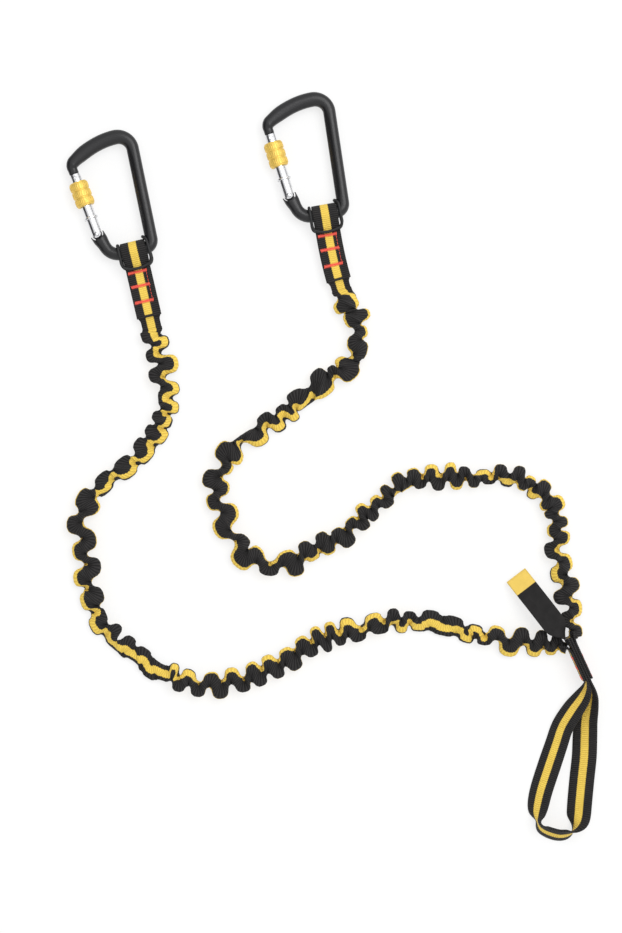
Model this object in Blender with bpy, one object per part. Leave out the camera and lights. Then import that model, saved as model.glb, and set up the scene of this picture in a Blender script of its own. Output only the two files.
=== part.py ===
"""A two-arm elastic lanyard, lying on a flat surface.

Each arm is gathered tubular webbing over an elastic core. It runs from a webbing eye that
holds a screw gate carabiner to a sewn junction, where a webbing attachment loop and a folded
label are sewn in. +X and +Y lie in the surface, +Z is up, and the origin is the underside of
the junction. All lengths are in metres and all angles in degrees.
"""

import math

import bmesh
import bpy
from mathutils import Matrix, Vector

# Clearances
GAP = 0.0003  # between pieces that touch or turn in each other
CUT_OVERRUN = 0.002  # how far a cutter reaches past the faces that it cuts
SHARP_ANGLE = 40.0  # edges sharper than this are shaded flat
BENT_ANGLE = 0.5  # strap faces more bent than this are split

# Webbing and its stitching
STRAP_WIDTH = 0.016
STRAP_THICKNESS = 0.0013
TACK_THICKNESS = 0.0005  # how far a bar tack stands off the webbing
TACK_LENGTH = 0.0118
TACK_WIDTH = 0.0022

# Carabiner frame: a rod bent into a D, in its own plane, from the middle of the short straight
# bar that the webbing holds
BAR_RADIUS = 0.004
BAR_LEFT = 0.0082  # straight bar on the gate's side of the middle
BAR_RIGHT = 0.0074
SPINE_CORNER_RADIUS = 0.0052
SPINE_LENGTH = 0.0587
SPINE_LEAN = 1.4  # degrees outwards
SPINE_WIDTH = 0.008
TOP_CORNER_RADIUS = 0.0096
TOP_WIDTH = 0.0094
HINGE_CORNER_RADIUS = 0.0096
HINGE_CORNER_TURN = 70.0
HINGE_REACH = 0.0098  # from the end of the hinge corner to the rivet
SHOULDER_CLEARANCE = 0.0007  # between the hinge shoulder and the gate's round end
NOSE_BEND_RADIUS = 0.001  # inside of the bend between top and nose
NOSE_BEND_TURN = 64.0
NOSE_BEND_WIDTH = 0.008
NECK_LENGTH = 0.0026  # straight nose that the locked sleeve covers
NECK_WIDTH = 0.0062
TONGUE_THICKNESS = 0.003
HINGE_TONGUE_WIDTH = 0.0052
HINGE_TONGUE_END = 0.003  # from the rivet to the flat that the follower presses on
HOOK_WIDTH = 0.0058
HOOK_LENGTH = 0.0054
FRAME_SIDES = 12
FRAME_ROUNDNESS_SHARE = 0.85  # exponent of the rod's section, 1 is an ellipse
TONGUE_ROUNDNESS_SHARE = 0.3
BAR_END_SHARE = 0.5  # of the lower corner, where the round bar becomes the spine's section
HINGE_TURN_SHARES = (0.66, 0.33, 0.0)
SPINE_TURN_SHARES = (0.0, 0.25, 0.5, 0.75, 1.0)
SPINE_SHARES = (0.33, 0.66, 1.0)
TOP_TURN_SHARES = (0.25, 0.5, 0.75, 1.0)
TOP_SHARES = (0.25, 0.5, 0.75)
NOSE_TURN_SHARES = (0.0, 0.34, 0.67, 1.0)

# Gate, from the rivet's centre along the gate
GATE_RADIUS = 0.00365
GATE_LENGTH = 0.041
GATE_TILT = 7.6  # degrees towards the outside
GATE_CHAMFER = 0.0004
GATE_SIDES = 16
GATE_END_TURNS = (75.0, 50.0, 25.0, 0.0)  # steps of its round end, degrees
NOSE_CLEARANCE = 0.0004  # between gate and nose, so that the gate's corner swings past
HINGE_SLOT_DEPTH = 0.0043
HOOK_SLOT_DEPTH = 0.006
RIVET_RADIUS = 0.0012
RIVET_STAND_OUT = 0.0003  # how far its ends stand out of the gate
LATCH_PIN_RADIUS = 0.001
LATCH_PIN_INSET = 0.0025  # from the gate's tip
LATCH_PIN_SHARE = 0.9  # of the gate's width
PIN_SIDES = 12
SPRING_BORE_RADIUS = 0.0016
SPRING_BORE_LENGTH = 0.0157
FOLLOWER_RADIUS = 0.0012
FOLLOWER_LENGTH = 0.005
SPRING_RADIUS = 0.00105
SPRING_WIRE_RADIUS = 0.0002
SPRING_TURNS = 6
SPRING_STEPS = 8  # points to a turn

# Screw sleeve and its stop ring, on the gate
SLEEVE_RADIUS = 0.00615
SLEEVE_LENGTH = 0.016
SLEEVE_START = GATE_LENGTH - 0.0215
SLEEVE_RIDGES = 3
RIDGE_GROOVE_DEPTH = 0.0006
RIDGE_GROOVE_WIDTH = 0.0009
SLEEVE_SIDES = 24
STOP_RING_RADIUS = 0.0046
STOP_RING_WIDTH = 0.0014
STOP_RING_AT = 0.0112
STOP_RING_SIDES = 16

# Webbing eye round the bar, and the rubber ring that keeps the bar in it
EYE_CLEARANCE = 0.0008
EYE_CLOSE = 0.0115  # from the bar to where the two plies meet
EYE_TOP_END = 0.0434  # cut end of the upper ply
EYE_ARC_STEPS = 8
EYE_TACKS_AT = (0.0137, 0.0228, 0.0331)
EYE_TACK_SHIFT = 0.0008  # to the left of the webbing's middle
THREAD_LINE_WIDTH = 0.0007
STEM_STRAIGHT = 0.015  # from the bar to where the stem may begin to turn
STEM_STEPS = 5
KEEPER_WIRE_RADIUS = 0.0009
KEEPER_AT = 0.011  # front span, from the bar's middle
KEEPER_SIDE_GAP = 0.0005
KEEPER_TUCK = 0.0021  # how far the right ear moves in to pass beside the spine
KEEPER_ROUNDNESS_SHARE = 0.6  # exponent of the ears' outline, 1 is an ellipse
KEEPER_EAR_TURN = 120.0  # either way from the ear's middle, degrees
KEEPER_EAR_STEPS = 10
KEEPER_SIDES = 6

# Where the two carabiners lie: bar middle, tilt of the carabiner, length and turn of the stem
LEFT_END = {"at": (-0.2835, 0.2618), "tilt": 13.1, "stem": 0.0504, "turn": 0.0}
RIGHT_END = {"at": (-0.1613, 0.2854), "tilt": 9.9, "stem": 0.0490, "turn": 7.0}

# Gathered arms
ARM_HEIGHT = 0.0124
ARM_REST = 0.0001  # above the surface
ARM_END_WIDTH = 0.0084
ARM_END_RUN = 0.009
FOLD_WIDTH = 0.0174
FOLD_DEPTH = 0.0087
FOLD_PITCH = 0.0156
FOLD_RINGS = 6
BORE_RINGS = 4
FOLD_SHOULDER_SHARE = 0.28  # how far the section's upper and lower corners are drawn in
BORE_RADIUS = 0.002
CORE_RADIUS = 0.0015
CORE_SWAY = 0.003
ROUTE_STEPS = 8  # points between two of a route's own

# An arm's route, chosen by hand between its two straight ends
LEFT_ROUTE = [
    (-0.2682, 0.1971), (-0.2656, 0.1869), (-0.2650, 0.1760), (-0.2630, 0.1664),
    (-0.2650, 0.1536), (-0.2720, 0.1408), (-0.2810, 0.1299), (-0.2912, 0.1216),
    (-0.3014, 0.1133), (-0.3110, 0.1050), (-0.3155, 0.0947), (-0.3162, 0.0819),
    (-0.3149, 0.0678), (-0.3130, 0.0525), (-0.3104, 0.0397), (-0.3059, 0.0262),
    (-0.2989, 0.0147), (-0.2880, 0.0058), (-0.2752, -0.0032), (-0.2637, -0.0096),
    (-0.2509, -0.0134), (-0.2368, -0.0154), (-0.2221, -0.0141), (-0.2093, -0.0109),
    (-0.1965, -0.0051), (-0.1837, 0.0013), (-0.1709, 0.0096), (-0.1581, 0.0154),
    (-0.1440, 0.0186), (-0.1293, 0.0224), (-0.1146, 0.0243), (-0.0992, 0.0243),
    (-0.0845, 0.0224), (-0.0698, 0.0179), (-0.0557, 0.0147), (-0.0416, 0.0115),
]
RIGHT_ROUTE = [
    (-0.1446, 0.2221), (-0.1414, 0.2125), (-0.1395, 0.2022), (-0.1427, 0.1926),
    (-0.1498, 0.1850), (-0.1594, 0.1786), (-0.1690, 0.1715), (-0.1786, 0.1645),
    (-0.1882, 0.1568), (-0.1984, 0.1504), (-0.2080, 0.1440), (-0.2176, 0.1370),
    (-0.2246, 0.1280), (-0.2291, 0.1171), (-0.2298, 0.1056), (-0.2266, 0.0934),
    (-0.2214, 0.0813), (-0.2138, 0.0704), (-0.2029, 0.0634), (-0.1901, 0.0621),
    (-0.1773, 0.0653), (-0.1645, 0.0723), (-0.1530, 0.0781), (-0.1434, 0.0858),
    (-0.1338, 0.0941), (-0.1229, 0.1024), (-0.1120, 0.1114), (-0.1005, 0.1158),
    (-0.0877, 0.1171), (-0.0736, 0.1171), (-0.0589, 0.1171), (-0.0442, 0.1165),
    (-0.0314, 0.1126), (-0.0205, 0.1050), (-0.0147, 0.0947), (-0.0128, 0.0832),
    (-0.0122, 0.0704), (-0.0096, 0.0576), (-0.0070, 0.0460), (-0.0038, 0.0365),
]

# Sewn junction: four plies on edge, side by side
STACK_LENGTH = 0.031
STACK_HEADING = 114.4  # degrees from +X, from the loop's end to the arms' end
ARM_PLY_START = 0.002  # from the loop's end of the stack
LEFT_PLY_STRAIGHT = 0.022  # from the loop's end to where the ply turns to its arm
LEFT_PLY_TURN_RADIUS = 0.006
LEFT_PLY_HEADING = 177.4
LEFT_PLY_RUN = 0.003
RIGHT_PLY_STRAIGHT = 0.0245
RIGHT_PLY_TURN_RADIUS = 0.02
RIGHT_PLY_HEADING = 94.0
RIGHT_PLY_RUN = 0.0025
PLY_ARC_STEPS = 5
JUNCTION_TACKS_AT = (0.004, 0.011, 0.018)

# Attachment loop: places as shares of its length and spread from the stack's end, to the
# right and down, with the lean of its band in degrees and its lift as a share of its width
LOOP_LENGTH = 0.103
LOOP_SPREAD = 0.045
LOOP_SHARES = [
    (-0.042, 0.050, 18, 0.06), (-0.113, 0.106, 40, 0.16), (-0.242, 0.181, 62, 0.19),
    (-0.384, 0.280, 74, 0.08), (-0.476, 0.391, 77, 0.0), (-0.582, 0.522, 77, 0.0),
    (-0.698, 0.665, 75, 0.0), (-0.753, 0.771, 72, 0.0), (-0.747, 0.857, 62, 0.0),
    (-0.640, 0.926, 50, 0.0), (-0.440, 0.957, 42, 0.0), (-0.256, 0.938, 22, 0.0),
    (-0.149, 0.876, -15, 0.0), (-0.113, 0.751, -62, 0.0), (-0.078, 0.609, -74, 0.0),
    (-0.042, 0.472, -74, 0.0), (-0.036, 0.348, -72, 0.0), (-0.029, 0.249, -62, 0.0),
    (0.000, 0.168, -48, 0.0), (0.036, 0.099, -28, 0.0), (0.042, 0.050, -12, 0.0),
]
LOOP_STEPS = 3  # rings between two places

# Label: two layers of tape folded at the free end
LABEL_LENGTH = 0.0507
LABEL_WIDTH = 0.015
LABEL_THICKNESS = 0.0005
LABEL_START = 0.0274  # from the loop's end of the stack
LABEL_HEADING = 127.4
# share of its length, share of its width, lean in degrees, height as a share of its width
LABEL_SHARES = [
    (0.0, 0.52, 0, 0.79), (0.06, 0.57, 25, 0.86), (0.12, 0.72, 55, 0.95),
    (0.18, 0.88, 80, 0.985), (0.26, 1.0, 90, 0.985), (0.44, 1.0, 90, 0.95),
    (0.63, 1.0, 90, 0.77), (0.83, 1.0, 90, 0.5), (1.0, 1.0, 90, 0.27),
]

# Sizes that follow from others; a section is (width, height, roundness)
ROD = (SPINE_WIDTH, BAR_RADIUS * 2, FRAME_ROUNDNESS_SHARE)
BAR = (BAR_RADIUS * 2, BAR_RADIUS * 2, 1.0)
BAR_HEIGHT = BAR_RADIUS + EYE_CLEARANCE + STRAP_THICKNESS + ARM_REST
LANE = STRAP_THICKNESS + GAP
OUTER_LANE = 1.5  # of the four plies, counted in lanes from the middle
SLEEVE_BORE = GATE_RADIUS + GAP

COLOURS = {
    "black_anodised": ((0.03, 0.03, 0.033), 0.35, 0.6),
    "bright_steel": ((0.72, 0.73, 0.74), 0.25, 1.0),
    "gold_anodised": ((0.83, 0.55, 0.13), 0.35, 1.0),
    "spring_steel": ((0.45, 0.45, 0.46), 0.3, 1.0),
    "black_webbing": ((0.025, 0.025, 0.028), 0.9, 0.0),
    "red_thread": ((0.6, 0.02, 0.02), 0.8, 0.0),
    "black_rubber": ((0.02, 0.02, 0.02), 0.6, 0.0),
    "elastic": ((0.75, 0.73, 0.68), 0.8, 0.0),
    "label_tape": ((0.83, 0.62, 0.12), 0.85, 0.0),
}


# Scene and mesh helpers
def clear_scene():
    for thing in list(bpy.data.objects):
        bpy.data.objects.remove(thing, do_unlink=True)


def material(name):
    """A Principled material with the colour, roughness and metallic value of its name."""
    if name in bpy.data.materials:
        return bpy.data.materials[name]
    colour, roughness, metallic = COLOURS[name]
    made = bpy.data.materials.new(name)
    made.use_nodes = True
    shader = made.node_tree.nodes["Principled BSDF"]
    shader.inputs["Base Color"].default_value = (*colour, 1.0)
    shader.inputs["Roughness"].default_value = roughness
    shader.inputs["Metallic"].default_value = metallic
    return made


def add_mesh(name, points, faces, look, matrix=None):
    """One object from points and faces, faces turned outwards, round parts shaded smooth."""
    mesh = bpy.data.meshes.new(name)
    mesh.from_pydata([tuple(point) for point in points], [], faces)
    edit = bmesh.new()
    edit.from_mesh(mesh)
    bmesh.ops.recalc_face_normals(edit, faces=edit.faces)
    edit.to_mesh(mesh)
    edit.free()
    mesh.shade_smooth()
    mesh.set_sharp_from_angle(angle=math.radians(SHARP_ANGLE))
    mesh.materials.append(material(look))
    thing = bpy.data.objects.new(name, mesh)
    bpy.context.scene.collection.objects.link(thing)
    if matrix is not None:
        thing.matrix_world = matrix
    return thing


def split_bent_faces(thing):
    """Splits the faces whose corners aren't in one plane, as where a strap twists."""
    edit = bmesh.new()
    edit.from_mesh(thing.data)
    bmesh.ops.connect_verts_nonplanar(edit, angle_limit=math.radians(BENT_ANGLE), faces=edit.faces)
    edit.to_mesh(thing.data)
    edit.free()


def ring_faces(counts, sides, closed):
    """Faces between rings of so many sides, with a cap at each end unless the rings close."""
    faces = []
    spans = counts if closed else counts - 1
    for ring in range(spans):
        here, there = ring * sides, (ring + 1) % counts * sides
        for side in range(sides):
            beside = (side + 1) % sides
            faces.append((here + side, here + beside, there + beside, there + side))
    if not closed:
        faces.append(tuple(reversed(range(sides))))
        faces.append(tuple(range((counts - 1) * sides, counts * sides)))
    return faces


def tube(name, rings, look, matrix=None, closed=False):
    """A body through rings of points, solid from end to end or closed on itself."""
    points = [point for ring in rings for point in ring]
    return add_mesh(name, points, ring_faces(len(rings), len(rings[0]), closed), look, matrix)


def circle(radius, height, sides):
    """A ring of points round the local Y axis."""
    turns = [math.tau * side / sides for side in range(sides)]
    return [Vector((radius * math.cos(a), height, radius * math.sin(a))) for a in turns]


def pin(name, radius, half_length, sides, look, matrix):
    """A plain pin along the local Z axis."""
    rings = [
        [Vector((point.x, point.z, end)) for point in circle(radius, 0.0, sides)]
        for end in (-half_length, half_length)
    ]
    return tube(name, rings, look, matrix)


def box(name, low, high, look, matrix=None):
    """A box between two corners."""
    rings = [
        [(low[0], low[1], z), (high[0], low[1], z), (high[0], high[1], z), (low[0], high[1], z)]
        for z in (low[2], high[2])
    ]
    return tube(name, rings, look, matrix)


def cut(target, cutter):
    """Cuts one object out of another, and leaves the cutter as a guide."""
    cutter.hide_render = True
    cutter.display_type = "WIRE"
    difference = target.modifiers.new(cutter.name, "BOOLEAN")
    difference.object = cutter
    difference.operation = "DIFFERENCE"
    difference.solver = "EXACT"


def heading(degrees):
    """The unit vector in the surface at that angle from +X."""
    angle = math.radians(degrees)
    return Vector((math.cos(angle), math.sin(angle), 0.0))


def left_of(direction):
    return Vector((-direction.y, direction.x, 0.0))


# Strap helpers: a strap is a list of stations (middle, direction across its width, half width)
def strap(name, stations, thickness, look):
    """A flat strap through its stations, square to its path."""
    rings = []
    for index, (middle, across, half_width) in enumerate(stations):
        before = stations[max(index - 1, 0)][0]
        after = stations[min(index + 1, len(stations) - 1)][0]
        face = (after - before).cross(across).normalized() * (thickness / 2)
        reach = across * half_width
        rings.append(
            [middle - reach - face, middle + reach - face, middle + reach + face, middle - reach + face]
        )
    made = tube(name, rings, look)
    split_bent_faces(made)
    return made


def leaned(direction, lean):
    """The width direction of a band on its edge whose top leans to the left of its path."""
    angle = math.radians(lean)
    return Vector((0.0, 0.0, math.cos(angle))) + left_of(direction) * math.sin(angle)


def lean_height(half_width, lean, thickness):
    """How high the middle of a leaning band lies when its lower edge rests."""
    angle = math.radians(lean)
    return half_width * math.cos(angle) + thickness / 2 * abs(math.sin(angle))


def smooth(points, steps):
    """A smooth curve through the points, with so many steps between two of them."""
    ends = [points[0] * 2 - points[1], *points, points[-1] * 2 - points[-2]]
    curve = []
    for a, b, c, d in zip(ends, ends[1:], ends[2:], ends[3:]):
        for step in range(steps):
            t = step / steps
            curve.append(
                b + (c - a) * (t / 2) + (a * 2 - b * 5 + c * 4 - d) * (t * t / 2)
                + (b * 3 - a - c * 3 + d) * (t * t * t / 2)
            )
    return curve + [points[-1]]


# Carabiner, in its own frame: x along the bar, y into the D, z up
def hinge_points():
    """The hinge corner's centre and end, the rod's angle of travel there, and the rivet."""
    corner = Vector((-BAR_LEFT, HINGE_CORNER_RADIUS, 0.0))
    travel = 180.0 - HINGE_CORNER_TURN
    end = corner + heading(travel + 90.0) * HINGE_CORNER_RADIUS
    return corner, end, travel, end + heading(travel) * HINGE_REACH


def hinge_places():
    """From the tongue inside the gate, past its shoulder and round the hinge corner."""
    corner, end, travel, rivet = hinge_points()
    shoulder = rivet - heading(travel) * (GATE_RADIUS + SHOULDER_CLEARANCE)
    tongue = (HINGE_TONGUE_WIDTH, TONGUE_THICKNESS, TONGUE_ROUNDNESS_SHARE)
    places = [
        (rivet + heading(90.0 + GATE_TILT) * HINGE_TONGUE_END, 270.0 + GATE_TILT, *tongue),
        (rivet, travel + 180.0, *tongue),
        (shoulder, travel + 180.0, *tongue),
        (shoulder, travel + 180.0, *ROD),
        (end, travel + 180.0, *ROD),
    ]
    for share in HINGE_TURN_SHARES:
        angle = 360.0 - HINGE_CORNER_TURN * share
        at = corner + heading(angle - 90.0) * HINGE_CORNER_RADIUS
        places.append((at, angle, *BAR))
    return places


def spine_places():
    """From the bar round the lower corner, up the spine and round the upper corner."""
    places = []
    full = 90.0 - SPINE_LEAN
    corner = Vector((BAR_RIGHT, SPINE_CORNER_RADIUS, 0.0))
    for share in SPINE_TURN_SHARES:
        at = corner + heading(full * share - 90.0) * SPINE_CORNER_RADIUS
        places.append((at, full * share, *(BAR if share < BAR_END_SHARE else ROD)))
    for share in SPINE_SHARES:
        places.append((at + heading(full) * SPINE_LENGTH * share, full, *ROD))
    corner = places[-1][0] + left_of(heading(full)) * TOP_CORNER_RADIUS
    for share in TOP_TURN_SHARES:
        angle = full + (180.0 - full) * share
        width = SPINE_WIDTH + (TOP_WIDTH - SPINE_WIDTH) * share
        at = corner + heading(angle - 90.0) * TOP_CORNER_RADIUS
        places.append((at, angle, width, *ROD[1:]))
    return places


def nose_places():
    """From the end of the top round the nose to the hook inside the gate."""
    gate = heading(90.0 + GATE_TILT)
    back = 270.0 + GATE_TILT
    tip = hinge_points()[3] + gate * (GATE_LENGTH + NOSE_CLEARANCE)
    inside = tip + gate * NECK_LENGTH - left_of(gate) * (NECK_WIDTH / 2 + NOSE_BEND_RADIUS)
    places = []
    for share in NOSE_TURN_SHARES:
        angle = back - NOSE_BEND_TURN * (1.0 - share)
        width = NOSE_BEND_WIDTH + (NECK_WIDTH - NOSE_BEND_WIDTH) * share
        at = inside + heading(angle - 90.0) * (width / 2 + NOSE_BEND_RADIUS)
        places.append((at, angle, width, width if share else ROD[1], FRAME_ROUNDNESS_SHARE))
    hook = (HOOK_WIDTH, TONGUE_THICKNESS, TONGUE_ROUNDNESS_SHARE)
    places.append((tip, back, NECK_WIDTH, NECK_WIDTH, FRAME_ROUNDNESS_SHARE))
    places.append((tip, back, *hook))
    places.append((tip - gate * HOOK_LENGTH, back, *hook))
    return places


def top_places(before, after):
    """The top, in one smooth curve from the upper corner to the nose."""
    start, end, turned = before[0], after[0], after[1]
    pull = (end - start).length / 3
    pulls = (start - Vector((pull, 0.0, 0.0)), end - heading(turned) * pull)
    places = []
    for t in TOP_SHARES:
        s = 1.0 - t
        at = start * s**3 + pulls[0] * 3 * s * s * t + pulls[1] * 3 * s * t * t + end * t**3
        places.append((at, 180.0 + (turned - 180.0) * t, TOP_WIDTH, *ROD[1:]))
    return places


def frame_places():
    """The rod's path from hinge to hook: (middle, angle of travel, width, height, roundness)."""
    spine, nose = spine_places(), nose_places()
    return hinge_places() + spine + top_places(spine[-1], nose[0]) + nose


def frame_rings():
    rings = []
    for at, angle, width, height, roundness in frame_places():
        side = left_of(heading(angle))
        ring = []
        for step in range(FRAME_SIDES):
            turn = math.tau * (step + 0.5) / FRAME_SIDES
            c, s = math.cos(turn), math.sin(turn)
            out = math.copysign(abs(c) ** roundness, c) * width / 2
            up = math.copysign(abs(s) ** roundness, s) * height / 2
            ring.append(at + side * out + Vector((0.0, 0.0, up)))
        rings.append(ring)
    return rings


def keyhole(name, matrix):
    """The notch in the hook: round where the latch pin sits, and open to the D's inside."""
    radius = LATCH_PIN_RADIUS + GAP
    half = TONGUE_THICKNESS / 2 + CUT_OVERRUN
    middle = GATE_LENGTH - LATCH_PIN_INSET
    mouth = HOOK_WIDTH / 2 + CUT_OVERRUN
    outline = [(mouth, middle + radius), (mouth, middle - radius)]
    for step in range(PIN_SIDES // 2 + 1):
        turn = math.radians(270.0) - math.pi * step / (PIN_SIDES // 2)
        outline.append((radius * math.cos(turn), middle + radius * math.sin(turn)))
    rings = [[Vector((x, y, end)) for x, y in outline] for end in (-half, half)]
    return tube(name, rings, "bright_steel", matrix)


def add_frame(side, place, gate_place):
    frame = tube(f"{side}_carabiner_frame", frame_rings(), "black_anodised", place)
    hole = pin(
        f"{side}_tongue_hole_cutter", RIVET_RADIUS + GAP, TONGUE_THICKNESS / 2 + CUT_OVERRUN,
        PIN_SIDES, "bright_steel", gate_place,
    )
    cut(frame, hole)
    cut(frame, keyhole(f"{side}_hook_notch_cutter", gate_place))
    return frame


def add_gate(side, gate_place):
    """The tubular gate: slotted for both tongues, drilled for rivet, latch pin and spring."""
    rings = []
    for turn in GATE_END_TURNS:
        angle = math.radians(turn)
        rings.append(circle(GATE_RADIUS * math.cos(angle), -GATE_RADIUS * math.sin(angle), GATE_SIDES))
    rings.append(circle(GATE_RADIUS, GATE_LENGTH - GATE_CHAMFER, GATE_SIDES))
    rings.append(circle(GATE_RADIUS - GATE_CHAMFER, GATE_LENGTH, GATE_SIDES))
    gate = tube(f"{side}_gate", rings, "bright_steel", gate_place)
    half_slot = TONGUE_THICKNESS / 2 + GAP
    reach = GATE_RADIUS + CUT_OVERRUN
    cut(gate, box(
        f"{side}_hinge_slot_cutter", (-reach, -reach, -half_slot),
        (reach, HINGE_SLOT_DEPTH, half_slot), "bright_steel", gate_place,
    ))
    cut(gate, box(
        f"{side}_hook_slot_cutter", (-reach, GATE_LENGTH - HOOK_SLOT_DEPTH, -half_slot),
        (reach, GATE_LENGTH + CUT_OVERRUN, half_slot), "bright_steel", gate_place,
    ))
    bore = [
        circle(SPRING_BORE_RADIUS, HINGE_SLOT_DEPTH - CUT_OVERRUN, PIN_SIDES),
        circle(SPRING_BORE_RADIUS, HINGE_SLOT_DEPTH + SPRING_BORE_LENGTH, PIN_SIDES),
    ]
    cut(gate, tube(f"{side}_spring_bore_cutter", bore, "bright_steel", gate_place))
    latch_place = gate_place @ Matrix.Translation((0.0, GATE_LENGTH - LATCH_PIN_INSET, 0.0))
    cut(gate, pin(
        f"{side}_rivet_hole_cutter", RIVET_RADIUS + GAP, reach, PIN_SIDES, "bright_steel", gate_place,
    ))
    cut(gate, pin(
        f"{side}_latch_hole_cutter", LATCH_PIN_RADIUS + GAP, reach, PIN_SIDES, "bright_steel",
        latch_place,
    ))
    pin(
        f"{side}_gate_rivet", RIVET_RADIUS, GATE_RADIUS + RIVET_STAND_OUT, PIN_SIDES,
        "bright_steel", gate_place,
    )
    pin(
        f"{side}_latch_pin", LATCH_PIN_RADIUS, GATE_RADIUS * LATCH_PIN_SHARE, PIN_SIDES,
        "bright_steel", latch_place,
    )


def add_spring(side, gate_place):
    """The follower that the hinge tongue pushes, and the spring behind it in the gate's bore."""
    start = HINGE_TONGUE_END + GAP
    follower = [
        circle(FOLLOWER_RADIUS, start, PIN_SIDES),
        circle(FOLLOWER_RADIUS, start + FOLLOWER_LENGTH, PIN_SIDES),
    ]
    tube(f"{side}_spring_follower", follower, "spring_steel", gate_place)
    low = start + FOLLOWER_LENGTH + GAP + SPRING_WIRE_RADIUS
    high = HINGE_SLOT_DEPTH + SPRING_BORE_LENGTH - GAP - SPRING_WIRE_RADIUS
    count = SPRING_TURNS * SPRING_STEPS
    rings = []
    for step in range(count + 1):
        turn = math.tau * step / SPRING_STEPS
        out = Vector((math.cos(turn), 0.0, math.sin(turn)))
        middle = out * SPRING_RADIUS + Vector((0.0, low + (high - low) * step / count, 0.0))
        up = Vector((0.0, SPRING_WIRE_RADIUS, 0.0))
        out = out * SPRING_WIRE_RADIUS
        rings.append([middle + out, middle + up, middle - out, middle - up])
    tube(f"{side}_gate_spring", rings, "spring_steel", gate_place)


def add_sleeve(side, gate_place):
    """The screw sleeve with its ridges, and the ring that stops it above the hinge."""
    end = SLEEVE_START + SLEEVE_LENGTH
    groove = SLEEVE_RADIUS - RIDGE_GROOVE_DEPTH
    profile = [(SLEEVE_BORE, SLEEVE_START), (groove, SLEEVE_START)]
    ridge = (SLEEVE_LENGTH - RIDGE_GROOVE_WIDTH * (SLEEVE_RIDGES + 1)) / SLEEVE_RIDGES
    for index in range(SLEEVE_RIDGES):
        low = SLEEVE_START + RIDGE_GROOVE_WIDTH * (index + 1) + ridge * index
        slope = RIDGE_GROOVE_WIDTH / 3
        profile += [(groove, low - slope), (SLEEVE_RADIUS, low)]
        profile += [(SLEEVE_RADIUS, low + ridge), (groove, low + ridge + slope)]
    profile += [(groove, end), (SLEEVE_BORE, end)]
    rings = [circle(radius, at, SLEEVE_SIDES) for radius, at in profile]
    tube(f"{side}_lock_sleeve", rings, "gold_anodised", gate_place, closed=True)
    low, high = STOP_RING_AT - STOP_RING_WIDTH / 2, STOP_RING_AT + STOP_RING_WIDTH / 2
    profile = [(SLEEVE_BORE, low), (STOP_RING_RADIUS, low), (STOP_RING_RADIUS, high), (SLEEVE_BORE, high)]
    rings = [circle(radius, at, STOP_RING_SIDES) for radius, at in profile]
    tube(f"{side}_sleeve_stop_ring", rings, "bright_steel", gate_place, closed=True)


# Webbing eye, its stitching and the keeper ring
def stem_place(end, distance):
    """Where the stem's middle line is at that distance from the bar, and where it heads."""
    at = Vector((*end["at"], BAR_HEIGHT))
    curved = end["stem"] - STEM_STRAIGHT
    direction = end["tilt"] - 90.0
    if distance <= STEM_STRAIGHT:
        return at + heading(direction) * distance, heading(direction)
    at += heading(direction) * STEM_STRAIGHT
    steps = STEM_STEPS * 4
    for step in range(steps):
        part = min(distance - STEM_STRAIGHT, curved) / steps
        at += heading(direction + end["turn"] * (step + 0.5) * part / curved) * part
    turned = heading(direction + end["turn"] * (distance - STEM_STRAIGHT) / curved)
    return at, turned


def add_eye(side, end):
    """One strap: down the upper ply, round the bar and back as the longer lower ply."""
    ply = (STRAP_THICKNESS + GAP) / 2
    radius = BAR_RADIUS + EYE_CLEARANCE + STRAP_THICKNESS / 2
    meet = math.degrees(math.atan2(ply, EYE_CLOSE) + math.acos(radius / math.hypot(EYE_CLOSE, ply)))
    path = []
    for step in range(STEM_STEPS + 1):
        path.append((EYE_TOP_END + (EYE_CLOSE - EYE_TOP_END) * step / STEM_STEPS, ply))
    for step in range(EYE_ARC_STEPS + 1):
        turn = math.radians(meet + (360.0 - 2 * meet) * step / EYE_ARC_STEPS)
        path.append((radius * math.cos(turn), radius * math.sin(turn)))
    for step in range(STEM_STEPS + 1):
        path.append((EYE_CLOSE + (end["stem"] - EYE_CLOSE) * step / STEM_STEPS, -ply))
    stations = []
    for distance, height in path:
        at, direction = stem_place(end, distance)
        middle = at + Vector((0.0, 0.0, height))
        stations.append((middle, left_of(direction), STRAP_WIDTH / 2))
    strap(f"{side}_eye_webbing", stations, STRAP_THICKNESS, "black_webbing")


def comb(name, positions, place):
    """Bar tacks at those positions, joined by the thread line along their far ends."""
    half, end = TACK_WIDTH / 2, TACK_LENGTH / 2
    line = end - THREAD_LINE_WIDTH
    outline = []
    for position in positions:
        outline += [(position - half, line), (position - half, -end)]
        outline += [(position + half, -end), (position + half, line)]
    outline[0] = (positions[0] - half, end)
    outline[-1] = (positions[-1] + half, end)
    rings = [[place(along, across, out) for along, across in outline] for out in (0.0, TACK_THICKNESS)]
    return tube(name, rings, "red_thread")


def add_eye_tacks(side, end):
    """The stem's three bar tacks and their thread line, on its upper face."""
    def place(along, across, out):
        at, direction = stem_place(end, along)
        height = STRAP_THICKNESS + GAP / 2 + GAP + out
        return at + left_of(direction) * (across - EYE_TACK_SHIFT) + Vector((0.0, 0.0, height))

    comb(f"{side}_eye_bar_tacks", EYE_TACKS_AT, place)


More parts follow.
